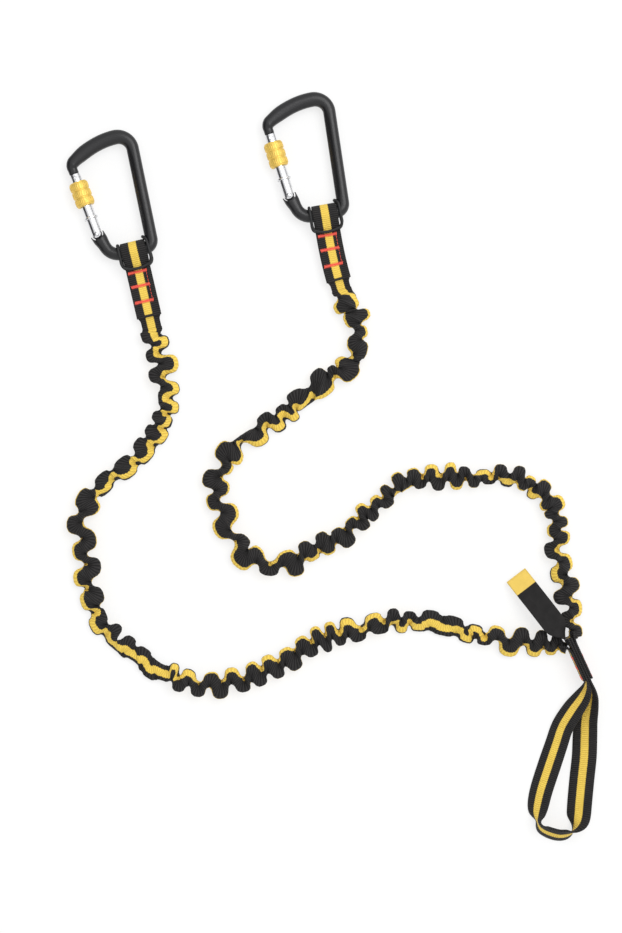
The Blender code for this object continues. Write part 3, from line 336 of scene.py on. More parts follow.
# Label: share of its length, share of its width, lean, height as a share of its width
LABEL_LENGTH = 0.0507
LABEL_WIDTH = 0.015
LABEL_THICKNESS = 0.0005
LABEL_START = 0.0274
LABEL_HEADING = 127.4
LABEL_SHARES = [
    (0.0, 0.52, 0, 0.79), (0.06, 0.57, 25, 0.86), (0.12, 0.72, 55, 0.95),
    (0.18, 0.88, 80, 0.985), (0.26, 1.0, 90, 0.985), (0.44, 1.0, 90, 0.95),
    (0.63, 1.0, 90, 0.77), (0.83, 1.0, 90, 0.5), (1.0, 1.0, 90, 0.27),
]
LABEL_BRIGHT_END = 0.0111
LABEL_ROW = 0.001
LABEL_WEAVE = (0.35, 0.4)  # pitch along and across, millimetres
LABEL_BORDER = (6.6, 6.9)  # from its middle line, millimetres
LABEL_SOFTNESS = 0.12

# Depth of the finest relief
WEAVE_DEPTH = 0.00016
FIBRE_DEPTH = 0.0001  # of thread and elastic
RUBBER_DEPTH = 0.00008
GRAIN_DEPTH = 0.00005
DRAWN_DEPTH = 0.00003

# Stage
CAMERA_AT = (-0.1702, 0.1238, 1.416)
CAMERA_LENS = 85.0
CAMERA_SENSOR = 36.0
CAMERA_SIGHT = 20.0
FLOOR_REACH = 15.0
FLOOR_GLOW = 0.72
SKY_BAND = (-0.5, -0.75)  # along X, where a dark band begins that only gloss shows
LAMP_AT = (0.55, 0.75, 1.9)
LAMP_AIM = (-0.17, 0.12, 0.0)
LAMP_SIZES = (1.6, 1.2)
WHITE = (1.0, 1.0, 1.0, 1.0)
UP = Vector((0.0, 0.0, 1.0))


def tint(red, green, blue):
    """A colour as it is seen, 0 to 255, turned into Blender's linear values."""
    shares = [value / 255.0 for value in (red, green, blue)]
    return tuple(s / 12.92 if s <= 0.04045 else ((s + 0.055) / 1.055) ** 2.4 for s in shares)


def shade(name, description, colour):
    return FloatVectorProperty(
        name=name, description=description, default=colour, subtype="COLOR", size=3, min=0.0, max=1.0,
    )


def length_setting(name, description, default, low, high):
    return FloatProperty(
        name=name, description=description, default=default, min=low, max=high, unit="LENGTH",
        precision=5,
    )


class LANYARD_PG_webbing(bpy.types.PropertyGroup):
    """Sizes and colours of the striped webbing."""

    black: shade("Webbing", "Colour of the webbing beside its stripe", tint(31, 30, 30))
    stripe: shade("Stripe", "Colour of the woven stripe", tint(249, 206, 92))
    stripe_width: length_setting("Stripe Width", "Width of the woven stripe", 0.0050, 0.001, 0.014)
    rib_pitch: length_setting(
        "Rib Pitch", "Distance between two ribs of the weave", 0.0013, 0.0005, 0.003,
    )


class LANYARD_PG_carabiner(bpy.types.PropertyGroup):
    """Finishes of the two carabiners."""

    rod: shade("Frame", "Colour of the anodised frame", tint(32, 32, 34))
    steel: shade("Gate", "Colour of the bright gate", tint(238, 238, 240))
    sleeve: shade("Sleeve", "Colour of the anodised screw sleeve", tint(236, 200, 98))
    rubber: shade("Keeper Ring", "Colour of the rubber keeper ring", tint(28, 28, 29))
    knurls: IntProperty(
        name="Knurls", description="Ridges round each band of the sleeve", default=30, min=8, max=60,
    )
    knurl_height: length_setting(
        "Knurl Height", "How far a ridge of the sleeve stands out", 0.00016, 0.0, 0.0006,
    )


class LANYARD_PG_stitching(bpy.types.PropertyGroup):
    """Thread of the bar tacks and thread lines."""

    thread: shade("Thread", "Colour of the bar tacks", tint(240, 84, 66))
    radius: length_setting("Thread Radius", "Half of the thread's thickness", 0.00022, 0.0001, 0.0006)
    spacing: length_setting(
        "Tack Spacing", "Distance between two stitches of a bar tack", 0.00036, 0.0002, 0.001,
    )


class LANYARD_PG_label(bpy.types.PropertyGroup):
    """Colours of the folded label, which is left blank."""

    bright: shade("Bright End", "Colour of the label's folded end", tint(228, 195, 96))
    dark: shade("Dark Part", "Colour of the rest of the label", tint(32, 31, 31))


class LANYARD_PG_stage(bpy.types.PropertyGroup):
    """Floor and light."""

    floor: shade("Floor", "Colour of the floor", (0.92, 0.92, 0.92))
    sky: FloatProperty(
        name="Sky", description="Strength of the light from all round", default=0.82, min=0.0, max=2.0,
    )
    lamp: FloatProperty(
        name="Lamp", description="Power of the large lamp", default=24.0, min=0.0, max=100.0,
        unit="POWER",
    )


# Directions and curves
def heading(degrees):
    """The unit vector in the surface at that angle from +X."""
    angle = math.radians(degrees)
    return Vector((math.cos(angle), math.sin(angle), 0.0))


def left_of(direction):
    return Vector((-direction.y, direction.x, 0.0))


def from_pixel(right, down):
    return ((right - ORIGIN_PIXEL[0]) * PIXEL, (ORIGIN_PIXEL[1] - down) * PIXEL)


def smooth(points, steps, closed=False):
    """A smooth curve through the points, with so many steps between two of them."""
    if closed:
        ends = [points[-1], *points, points[0], points[1]]
    else:
        ends = [points[0] * 2 - points[1], *points, points[-1] * 2 - points[-2]]
    curve = []
    for a, b, c, d in zip(ends, ends[1:], ends[2:], ends[3:]):
        for step in range(steps):
            t = step / steps
            curve.append(
                b + (c - a) * (t / 2) + (a * 2 - b * 5 + c * 4 - d) * (t * t / 2)
                + (b * 3 - a - c * 3 + d) * (t * t * t / 2)
            )
    return curve if closed else curve + [points[-1]]


def ramp(value, low, high):
    """0 below low, 1 above high, and smooth between them."""
    share = np.clip((value - low) / (high - low), 0.0, 1.0)
    return share * share * (3.0 - 2.0 * share)


def even_shares(steps):
    """From 0 to 1 in so many steps."""
    return [step / steps for step in range(steps + 1)]


def leaned(direction, lean):
    """The width direction of a band on its edge whose top leans to the left of its path."""
    angle = math.radians(lean)
    return Vector((0.0, 0.0, math.cos(angle))) + left_of(direction) * math.sin(angle)


def lean_height(half_width, lean, thickness):
    """How high the middle of a leaning band lies when its lower edge rests."""
    angle = math.radians(lean)
    return half_width * math.cos(angle) + thickness / 2 * abs(math.sin(angle))


def travel_at(points, index):
    """The way along the points beside one of them."""
    return points[min(index + 1, len(points) - 1)] - points[max(index - 1, 0)]


# Places of the carabiners
def hinge_points():
    """The hinge corner's centre and end, the rod's angle of travel there, and the rivet."""
    corner = Vector((-BAR_LEFT, HINGE_CORNER_RADIUS, 0.0))
    travel = 180.0 - HINGE_CORNER_TURN
    end = corner + heading(travel + 90.0) * HINGE_CORNER_RADIUS
    return corner, end, travel, end + heading(travel) * HINGE_REACH


def carabiner_place(side):
    end = ENDS[side]
    turn = Matrix.Rotation(math.radians(end["tilt"]), 4, "Z")
    return Matrix.Translation((*end["at"], BAR_HEIGHT)) @ turn


def gate_place(side):
    turn = Matrix.Rotation(math.radians(GATE_TILT), 4, "Z")
    return carabiner_place(side) @ Matrix.Translation(hinge_points()[3]) @ turn


def stem_place(side, distance):
    """Where the stem's middle line is at that distance from the bar, and where it heads."""
    end = ENDS[side]
    at = Vector((*end["at"], BAR_HEIGHT))
    direction = end["tilt"] - 90.0
    if distance <= STEM_STRAIGHT:
        return at + heading(direction) * distance, heading(direction)
    curved, beyond, steps = end["stem"] - STEM_STRAIGHT, distance - STEM_STRAIGHT, 20
    at += heading(direction) * STEM_STRAIGHT
    part = beyond / steps
    for step in range(steps):
        at += heading(direction + end["turn"] * (step + 0.5) * part / curved) * part
    return at, heading(direction + end["turn"] * beyond / curved)


# Meshes
def link(name, mesh):
    thing = bpy.data.objects.new(name, mesh)
    bpy.context.scene.collection.objects.link(thing)
    return thing


def turn_outwards(mesh):
    edit = bmesh.new()
    edit.from_mesh(mesh)
    bmesh.ops.recalc_face_normals(edit, faces=edit.faces)
    edit.to_mesh(mesh)
    edit.free()


def ring_faces(count, sides, closed):
    """Faces between rings of so many sides, with a cap at each end unless the rings close."""
    faces = []
    for ring in range(count if closed else count - 1):
        here, there = ring * sides, (ring + 1) % count * sides
        for step in range(sides):
            beside = (step + 1) % sides
            faces.append((here + step, here + beside, there + beside, there + step))
    if not closed:
        faces.append(tuple(reversed(range(sides))))
        faces.append(tuple(range((count - 1) * sides, count * sides)))
    return faces


def tube(name, rings, material, matrix=None, closed=False, sharp=40.0):
    """A body through rings of points, solid from end to end or closed on itself."""
    mesh = bpy.data.meshes.new(name)
    points = [tuple(point) for ring in rings for point in ring]
    mesh.from_pydata(points, [], ring_faces(len(rings), len(rings[0]), closed))
    turn_outwards(mesh)
    mesh.shade_smooth()
    mesh.set_sharp_from_angle(angle=math.radians(sharp))
    mesh.materials.append(material)
    if matrix is not None:
        mesh.transform(matrix)
    return link(name, mesh)


def woven(name, rings, along, across, material):
    """A tube of webbing whose map holds the distance along and across the weave."""
    thing = tube(name, rings, material, sharp=60.0)
    mesh = thing.data
    count, sides = len(rings), len(rings[0])
    weave = mesh.uv_layers.new(name="weave")
    for polygon in mesh.polygons:
        corners = list(polygon.vertices)
        capped = len(corners) > 4
        wraps = not capped and {v % sides for v in corners} == {0, sides - 1}
        for index, vertex in zip(polygon.loop_indices, corners):
            ring, step = divmod(vertex, sides)
            step = sides if wraps and step == 0 else step
            weave.data[index].uv = (along[ring], across[ring][step])
    return thing


def circle(radius, height, sides, axis="Y"):
    """A ring of points round the local Y or Z axis."""
    turns = [math.tau * side / sides for side in range(sides)]
    if axis == "Z":
        return [Vector((radius * math.cos(a), radius * math.sin(a), height)) for a in turns]
    return [Vector((radius * math.cos(a), height, radius * math.sin(a))) for a in turns]


def ring_round(middle, first, second, radius, sides):
    """A ring of points round the middle, in the plane of two directions."""
    turns = [math.tau * side / sides for side in range(sides)]
    return [middle + (first * math.cos(a) + second * math.sin(a)) * radius for a in turns]


def lathe(name, profile, sides, material, matrix, closed=False, axis="Y", sharp=35.0):
    """A turned body from (radius, height) pairs."""
    rings = [circle(max(radius, POLE), height, sides, axis) for radius, height in profile]
    thing = tube(name, rings, material, closed=closed, sharp=sharp)
    edit = bmesh.new()
    edit.from_mesh(thing.data)
    bmesh.ops.remove_doubles(edit, verts=edit.verts, dist=WELD)
    edit.to_mesh(thing.data)
    edit.free()
    thing.data.transform(matrix)
    return thing


def box(low, high, matrix):
    """A plain cutter between two corners."""
    rings = [
        [(low[0], low[1], z), (high[0], low[1], z), (high[0], high[1], z), (low[0], high[1], z)]
        for z in (low[2], high[2])
    ]
    return tube("cutter", rings, None, matrix)


def drill(radius, half, material, matrix, sides=HOLE_SIDES):
    """A round cutter along the local Z axis, through what is so thick to either side."""
    reach = half + OVERCUT
    profile = [(radius, -reach), (radius, reach)]
    return lathe("cutter", profile, sides, material, matrix, axis="Z")


def combine(thing, other, operation):
    """Cuts the other body out of a piece, or joins it on, and removes the other."""
    change = thing.modifiers.new("shape", "BOOLEAN")
    change.object, change.operation, change.solver = other, operation, "EXACT"
    made_plain(thing)
    bpy.data.objects.remove(other, do_unlink=True)


def made_plain(thing):
    """Turns what a piece's modifiers make into its own mesh."""
    bpy.context.view_layer.update()
    evaluated = thing.evaluated_get(bpy.context.evaluated_depsgraph_get())
    mesh = bpy.data.meshes.new_from_object(evaluated)
    mesh.name = thing.name
    thing.modifiers.clear()
    thing.data = mesh
    return thing


def joined(name, things):
    """One piece from several, which keeps their materials."""
    edit = bmesh.new()
    materials = []
    for thing in things:
        start = len(edit.faces)
        edit.from_mesh(thing.data)
        edit.faces.ensure_lookup_table()
        for face in edit.faces[start:]:
            material = thing.data.materials[face.material_index]
            if material not in materials:
                materials.append(material)
            face.material_index = materials.index(material)
    mesh = bpy.data.meshes.new(name)
    edit.to_mesh(mesh)
    edit.free()
    for material in materials:
        mesh.materials.append(material)
    for thing in things:
        bpy.data.objects.remove(thing, do_unlink=True)
    return link(name, mesh)


def settle(piece, body, node):
    """Moves a piece with a body and lets it stand for a node."""
    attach(piece, body)
    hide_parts(node)


# Node trees
class Graph:
    """A node tree and short ways to add and join its nodes; a node stands for its first output."""

    def __init__(self, tree):
        self.tree = tree

    def node(self, kind, inputs=(), **settings):
        """A node with those settings, and its inputs by name or number."""
        made = self.tree.nodes.new(kind)
        for name, value in settings.items():
            setattr(made, name, value)
        for name, value in dict(inputs).items():
            self.join(value, made.inputs[name])
        return made

    def join(self, value, socket):
        """Joins a node or socket, or sets a number or colour."""
        if isinstance(value, bpy.types.Node):
            value = value.outputs[0]
        if isinstance(value, bpy.types.NodeSocket):
            self.tree.links.new(value, socket)
        else:
            socket.default_value = value

    def math(self, operation, *values):
        return self.node("ShaderNodeMath", dict(enumerate(values)), operation=operation)

    def mixed(self, share, first, second):
        """A colour between two, by share."""
        made = self.node("ShaderNodeMix", {0: share, 6: first, 7: second}, data_type="RGBA")
        return made.outputs[2]

    def spread(self, value, low, high, to_low=0.0, to_high=1.0):
        """A value moved from one range to another, and held inside it."""
        return self.node("ShaderNodeMapRange", dict(enumerate((value, low, high, to_low, to_high))))

    def seen(self):
        """1 where the camera looks, also by way of metal or glass, and the glossy ray's output."""
        rays = self.node("ShaderNodeLightPath").outputs
        shown = self.math("MAXIMUM", rays["Is Camera Ray"], rays["Is Glossy Ray"])
        return self.math("MAXIMUM", shown, rays["Is Transmission Ray"]), rays["Is Glossy Ray"]


# Materials
class Surface(Graph):
    """A Principled material."""

    def __init__(self, name):
        self.material = bpy.data.materials.new(name)
        self.material.use_nodes = True
        super().__init__(self.material.node_tree)
        self.shader = self.tree.nodes["Principled BSDF"]

    def noise(self, scale, detail=2.0, stretch=None):
        place = self.node("ShaderNodeTexCoord").outputs["Object"]
        if stretch is not None:
            place = self.node("ShaderNodeMapping", {"Vector": place, "Scale": stretch})
        return self.node("ShaderNodeTexNoise", {"Vector": place, "Scale": scale, "Detail": detail})

    def weave(self):
        """The distances along and across the weave, in millimetres."""
        weave = self.node("ShaderNodeUVMap", uv_map="weave")
        return self.node("ShaderNodeSeparateXYZ", {0: weave}).outputs[:2]

    def wave(self, distance, pitch):
        return self.math("SINE", self.math("MULTIPLY", distance, math.tau / pitch))

    def bump(self, height, strength, distance):
        values = {"Height": height, "Strength": strength, "Distance": distance}
        self.join(self.node("ShaderNodeBump", values), self.shader.inputs["Normal"])

    def finish(self, **values):
        """Joins or sets the shader's sockets, with _ for each space in their names."""
        for name, value in values.items():
            self.join(value, self.shader.inputs[name.replace("_", " ")])
        return self.material


def toned(values, factor=1.0):
    """A paler or darker colour, with its alpha."""
    return (*(min(value * factor, 1.0) for value in values), 1.0)


def material_of(make):
    """The material that a function makes, made when it is first asked for."""
    return bpy.data.materials.get(make.__name__) or make(Surface(make.__name__))


def grained(look, colours, grain, bump, rough, share=None, **values):
    """Lets a fine grain carry a surface's relief, its gloss and, without a share, its tone."""
    grain = look.noise(*grain)
    look.bump(grain, *bump)
    tone = look.mixed(grain if share is None else share, *colours)
    rough = look.spread(grain, 0.3, 0.7, *rough) if isinstance(rough, tuple) else rough
    return look.finish(Base_Color=tone, Roughness=rough, **values)


def striped_webbing(look):
    """Ribbed tubular webbing, black with a bright stripe along its middle, with painted shade and
    highlight on its ribs.
    """
    webbing = bpy.context.scene.lanyard_webbing
    along, across = look.weave()
    rib, warp = look.wave(along, webbing.rib_pitch * MM), look.wave(across, WARP_PITCH)
    middle = look.math("PINGPONG", across, TUBE_GIRTH / 4)
    ragged = look.math("MULTIPLY_ADD", rib, 0.2, middle)
    edge, soft = webbing.stripe_width * MM / 2, STRIPE_SOFTNESS
    # The stripe begins where the weave's distance passes 0; the eye's upper ply is shifted so that its
    # end stays black, a painted shadow.
    begun = look.spread(look.math("MULTIPLY_ADD", warp, 0.3, along), -soft, soft)
    stripe = look.math("MULTIPLY", look.spread(ragged, edge + soft, edge - soft), begun)
    wear = look.noise(180.0, 4.0)
    # Painted shade and highlight on the ribs, mixed with random wear, swing the black and the stripe
    # between dark and pale tones.
    painted_rib_shade = look.math("MULTIPLY_ADD", rib, 0.5, 0.5)
    share = look.math("MULTIPLY_ADD", painted_rib_shade, 0.55, look.math("MULTIPLY", wear, 0.45))
    black = look.mixed(share, toned(webbing.black, 0.2), toned(webbing.black, 3.2))
    bright = look.mixed(share, toned(webbing.stripe, 0.7), toned(webbing.stripe, 1.2))
    height = look.math("MULTIPLY_ADD", look.math("MULTIPLY", rib, warp), 0.35, rib)
    look.bump(height, 0.9, WEAVE_DEPTH)
    return look.finish(
        Base_Color=look.mixed(stripe, black, bright), Roughness=look.spread(wear, 0.3, 0.7, 0.56, 0.74),
        Sheen_Weight=0.04, Sheen_Roughness=0.4, Specular_IOR_Level=0.12,
    )


def anodised_rod(look):
    """Satin dark grey anodising with faint handling marks."""
    base = bpy.context.scene.lanyard_carabiner.rod
    marks = look.spread(look.noise(60.0, 5.0, (1.0, 7.0, 1.0)), 0.62, 0.75)
    return grained(
        look, (toned(base, 0.85), toned(base, 1.5)), grain=(900.0, 3.0), bump=(0.12, GRAIN_DEPTH),
        rough=(0.34, 0.46), share=look.math("MULTIPLY", marks, 0.35),
        Metallic=0.2, Specular_IOR_Level=0.32, Coat_Weight=0.25, Coat_Roughness=0.24,
    )


def polished_gate(look):
    """Polished gate metal with fine lengthwise drawing lines."""
    base = bpy.context.scene.lanyard_carabiner.steel
    return grained(
        look, (toned(base, 0.86), toned(base)), grain=(500.0, 2.0, (1.0, 0.06, 1.0)),
        bump=(0.06, DRAWN_DEPTH), rough=(0.14, 0.26), Metallic=1.0,
    )


def gold_sleeve(look):
    """Matt gold anodising in faint patches."""
    base = bpy.context.scene.lanyard_carabiner.sleeve
    return grained(
        look, (toned(base, 0.86), toned(base, 1.08)), grain=(1500.0, 3.0),
        bump=(0.15, GRAIN_DEPTH), rough=(0.36, 0.5), share=look.noise(260.0), Metallic=0.55,
    )


def drawn_wire(look):
    """Drawn spring wire, a little oily."""
    colours = toned(tint(150, 150, 152)), toned(tint(186, 186, 190))
    bump = (0.1, DRAWN_DEPTH)
    return grained(look, colours, grain=(2500.0,), bump=bump, rough=0.28, Metallic=1.0)


def keeper_rubber(look):
    """Moulded black rubber with a dusty bloom."""
    base = bpy.context.scene.lanyard_carabiner.rubber
    return grained(
        look, (toned(base, 0.75), toned(base, 1.6)), grain=(420.0, 4.0),
        bump=(0.2, RUBBER_DEPTH), rough=(0.42, 0.6), Specular_IOR_Level=0.3,
    )


def twisted_thread(look):
    """Bonded red thread, twisted."""
    base = bpy.context.scene.lanyard_stitching.thread
    return grained(
        look, (toned(base, 0.8), toned(base, 1.15)), grain=(3200.0,), bump=(0.35, FIBRE_DEPTH),
        rough=0.62, Sheen_Weight=0.15,
    )


def elastic_cord(look):
    """Dark braided elastic, inside the gathered tube."""
    colours = toned(tint(56, 54, 50)), toned(tint(84, 82, 76))
    return grained(look, colours, grain=(1400.0,), bump=(0.3, FIBRE_DEPTH), rough=0.8)


def woven_tape(look):
    """Smooth woven tape, bright at its folded end and dark towards the seam."""
    label = bpy.context.scene.lanyard_label
    along, across = look.weave()
    pitch_along, pitch_across = LABEL_WEAVE
    picks = look.math("MULTIPLY", look.wave(along, pitch_along), look.wave(across, pitch_across))
    border = look.spread(look.math("ABSOLUTE", across), *LABEL_BORDER)
    end, soft = LABEL_BRIGHT_END * MM, LABEL_SOFTNESS
    folded = look.spread(look.math("ABSOLUTE", along), end + soft, end - soft)
    share = look.math("MULTIPLY_ADD", picks, 0.18, look.noise(220.0, 3.0))
    dark = look.mixed(share, toned(label.dark, 0.7), toned(label.dark, 1.6))
    bright = look.mixed(share, toned(label.bright, 0.86), toned(label.bright, 1.08))
    rim = look.mixed(look.math("MULTIPLY", border, 0.35), bright, toned(label.bright, 0.6))
    look.bump(picks, 0.3, GRAIN_DEPTH)
    return look.finish(
        Base_Color=look.mixed(folded, dark, rim), Roughness=0.7, Specular_IOR_Level=0.15,
    )


# Stitches and knurls that repeat
def new_tree(name, kinds):
    """A geometry node group with geometry in and out and the named inputs."""
    tree = bpy.data.node_groups.new(name, "GeometryNodeTree")
    for socket, kind in {"Geometry": "Geometry", **kinds}.items():
        tree.interface.new_socket(socket, in_out="INPUT", socket_type=f"NodeSocket{kind}")
    tree.interface.new_socket("Geometry", in_out="OUTPUT", socket_type="NodeSocketGeometry")
    graph = Graph(tree)
    return graph, graph.node("NodeGroupInput").outputs


def end_tree(graph, instances, finish, incoming=None):
    """Ends a tree with its instances made real, smooth and dressed, joined to what comes in."""
    made = graph.node("GeometryNodeRealizeInstances", {0: instances})
    made = graph.node("GeometryNodeSetShadeSmooth", {0: made})
    if incoming is not None:
        made = graph.node("GeometryNodeJoinGeometry", {0: made})
        graph.join(incoming, made.inputs[0])
    made = graph.node("GeometryNodeSetMaterial", {0: made, "Material": finish})
    graph.node("NodeGroupOutput", {0: made})
    return graph.tree


def run_tree(thing, make, values):
    """Runs the tree that a function makes on a piece, and leaves a plain mesh."""
    tree = bpy.data.node_groups.get(make.__name__) or make(make.__name__)
    change = thing.modifiers.new(tree.name, "NODES")
    change.node_group = tree
    for socket in tree.interface.items_tree:
        if socket.item_type == "SOCKET" and socket.in_out == "INPUT" and socket.name in values:
            change[socket.identifier] = values[socket.name]
    return made_plain(thing)


def bead(graph):
    """The round form of a stitch or a ridge, before it is scaled."""
    return graph.node("GeometryNodeMeshUVSphere", {"Segments": 8, "Rings": 6, "Radius": 1.0})


def stitches_along(name):
    """Thread stitches along the edges of a mesh, square to its vector attribute 'out'."""
    floats = ("Spacing", "Length", "Thread Radius", "Slant", "Zigzag")
    graph, given = new_tree(name, {**dict.fromkeys(floats, "Float"), "Thread": "Material"})
    line = graph.node("GeometryNodeMeshToCurve", {"Mesh": given["Geometry"]})
    points = graph.node(
        "GeometryNodeCurveToPoints", {"Curve": line, "Length": given["Spacing"]}, mode="LENGTH",
    )
    outwards = graph.node(
        "GeometryNodeInputNamedAttribute", {"Name": "out"}, data_type="FLOAT_VECTOR",
    )
    axes = graph.node(
        "FunctionNodeAxesToRotation",
        {"Primary Axis": outwards, "Secondary Axis": points.outputs["Tangent"]},
        primary_axis="Z", secondary_axis="X",
    )
    odd = graph.math("MODULO", graph.node("GeometryNodeInputIndex"), 2.0)
    side = graph.math("SUBTRACT", graph.math("MULTIPLY", odd, 2.0), 1.0)
    swing = graph.math("MULTIPLY", side, given["Zigzag"])
    jitter = graph.node(
        "FunctionNodeRandomValue", {2: -0.07, 3: 0.07, "Seed": 11}, data_type="FLOAT",
    )
    slant = graph.math("ADD", graph.math("ADD", given["Slant"], swing), jitter.outputs[1])
    euler = graph.node("ShaderNodeCombineXYZ", {"Z": slant})
    by = graph.node("FunctionNodeEulerToRotation", {0: euler})
    turned = graph.node("FunctionNodeRotateRotation", {0: axes, 1: by}, rotation_space="LOCAL")
    half, thread = graph.math("MULTIPLY", given["Length"], 0.5), given["Thread Radius"]
    size = graph.node("ShaderNodeCombineXYZ", {"X": half, "Y": thread, "Z": thread})
    placed = graph.node(
        "GeometryNodeInstanceOnPoints",
        {"Points": points, "Instance": bead(graph), "Rotation": turned, "Scale": size},
    )
    return end_tree(graph, placed, given["Thread"])


def stitched(name, lines, length, radius, spacing, slant, zigzag, thread):
    """Stitches along several lines, each a list of (place, outward direction)."""
    mesh = bpy.data.meshes.new(name)
    points, edges, outs = [], [], []
    for line in lines:
        edges += [(len(points) + i, len(points) + i + 1) for i in range(len(line) - 1)]
        points += [tuple(place) for place, _ in line]
        outs += [value for _, out in line for value in out]
    mesh.from_pydata(points, edges, [])
    mesh.attributes.new("out", "FLOAT_VECTOR", "POINT").data.foreach_set("vector", outs)
    return run_tree(link(name, mesh), stitches_along, {
        "Spacing": spacing, "Length": length, "Thread Radius": radius,
        "Slant": math.radians(slant), "Zigzag": math.radians(zigzag), "Thread": thread,
    })


def knurled_bands(name):
    """Rings of rounded ridges round Z, one ring for each band, joined to what comes in."""
    floats = ("Radius", "First Band", "Band Pitch", "Ridge Length", "Ridge Width", "Ridge Height")
    kinds = {"Ridges": "Int", "Bands": "Int", **dict.fromkeys(floats, "Float")}
    graph, given = new_tree(name, {**kinds, "Finish": "Material"})
    places = graph.node(
        "GeometryNodeMeshCircle", {"Vertices": given["Ridges"], "Radius": given["Radius"]},
    )
    where = graph.node("GeometryNodeInputPosition")
    axes = graph.node(
        "FunctionNodeAxesToRotation", {"Primary Axis": where, "Secondary Axis": UP},
        primary_axis="X", secondary_axis="Z",
    )
    sizes = {"X": given["Ridge Height"], "Y": given["Ridge Width"], "Z": given["Ridge Length"]}
    size = graph.node("ShaderNodeCombineXYZ", sizes)
    ring = graph.node(
        "GeometryNodeInstanceOnPoints",
        {"Points": places, "Instance": bead(graph), "Rotation": axes, "Scale": size},
    )
    bands = graph.node("GeometryNodeMeshLine", {
        "Count": given["Bands"],
        "Start Location": graph.node("ShaderNodeCombineXYZ", {"Z": given["First Band"]}),
        "Offset": graph.node("ShaderNodeCombineXYZ", {"Z": given["Band Pitch"]}),
    })
    stacked = graph.node("GeometryNodeInstanceOnPoints", {"Points": bands, "Instance": ring})
    return end_tree(graph, stacked, given["Finish"], given["Geometry"])


# Straps: a station is (middle, direction across, half width)
def strap_rings(stations, thickness, relief=ROW_RELIEF):
    """Rings of a strap with rounded edges, with the distances along and across its weave."""
    shares = (-1.0, -0.99, -0.955, -0.8, -0.5, -0.25, 0.0, 0.25, 0.5, 0.8, 0.955, 0.99, 1.0)
    levels = (0.0, 0.55, 0.9, *[1.0] * 7, 0.9, 0.55, 0.0)
    outline = list(zip(shares, levels))
    outline += [(s, -v) for s, v in zip(shares[-2:0:-1], levels[-2:0:-1])]
    rings, along, across, travelled = [], [], [], 0.0
    middles = [middle for middle, _, _ in stations]
    for index, (middle, side, half) in enumerate(stations):
        face = travel_at(middles, index).cross(side).normalized()
        if index:
            travelled += (middle - middles[index - 1]).length
        level = thickness / 2 + (relief if index % 2 else -relief)
        rings.append([middle + side * (s * half) + face * (v * level) for s, v in outline])
        along.append(travelled * MM)
        across.append([s * half * MM for s, _ in outline] + [outline[0][0] * half * MM])
    return rings, along, across


def rows(stations, step=ROW_STEP):
    """Stations set a row of the weave apart on the same line."""
    distances = [0.0]
    for (a, _, _), (b, _, _) in zip(stations, stations[1:]):
        distances.append(distances[-1] + (b - a).length)
    count = max(2, round(distances[-1] / step))
    made, index = [], 1
    for row in range(count + 1):
        distance = distances[-1] * row / count
        while index < len(stations) - 1 and distances[index] < distance:
            index += 1
        span = distances[index] - distances[index - 1]
        share = (distance - distances[index - 1]) / span if span else 0.0
        (a, side_a, half_a), (b, side_b, half_b) = stations[index - 1], stations[index]
        half = half_a + (half_b - half_a) * share
        made.append((a.lerp(b, share), side_a.lerp(side_b, share).normalized(), half))
    return made


def strap(name, stations, thickness, material, relief=ROW_RELIEF):
    return woven(name, *strap_rings(rows(stations), thickness, relief), material)


# Gathered arms
class Route:
    """A line in the surface, with places on it by distance."""

    def __init__(self, curve):
        self.points = np.array([(point.x, point.y) for point in curve])
        steps = np.linalg.norm(np.diff(self.points, axis=0), axis=1)
        self.distances = np.concatenate(([0.0], np.cumsum(steps)))
        self.length = float(self.distances[-1])

    def on(self, distance):
        return np.stack(
            [np.interp(distance, self.distances, self.points[:, axis]) for axis in (0, 1)], axis=-1,
        )

    def place(self, distance):
        """The points at those distances, and the directions to their left."""
        low = np.clip(distance - TRAVEL_REACH, 0.0, self.length - TRAVEL_LEAST)
        high = np.clip(distance + TRAVEL_REACH, TRAVEL_LEAST, self.length)
        travel = self.on(high) - self.on(low)
        travel = travel / np.linalg.norm(travel, axis=-1, keepdims=True)
        return self.on(distance), np.stack([-travel[..., 1], travel[..., 0]], axis=-1)

    def nearest(self, point, low, high):
        """The distance at which a point lies beside the route, and how far to its left."""
        distances = np.linspace(max(low, 0.0), min(high, self.length), SEARCH_STEPS)
        places, lefts = self.place(distances)
        away = np.array(point) - places
        index = int(np.argmin(np.linalg.norm(away, axis=1)))
        return float(distances[index]), float(np.dot(away[index], lefts[index]))


def ply_stations(side):
    """An arm's flat sewn end: on edge in the stack, then round to meet the gathered part."""
    ply = PLIES[side]
    half, end_half = STRAP_WIDTH / 2, ARM_HEIGHT / 2
    stations = []
    for share in (0.0, 0.5, 1.0):
        at = stack_place(ARM_PLY_START + (ply["straight"] - ARM_PLY_START) * share, ply["lane"])
        stations.append((at + UP * half, UP, half))
    turn = ply["heading"] - STACK_HEADING
    sign = math.copysign(1.0, turn)
    middle = at + left_of(heading(STACK_HEADING)) * ply["radius"] * sign
    for share in even_shares(PLY_ARC_STEPS)[1:]:
        size = half + (end_half - half) * share
        now = left_of(heading(STACK_HEADING + turn * share))
        at = middle - now * ply["radius"] * sign + UP * (size + ARM_REST * share)
        stations.append((at, UP, size))
    stations.append((at + heading(ply["heading"]) * ply["run"], UP, end_half))
    return stations


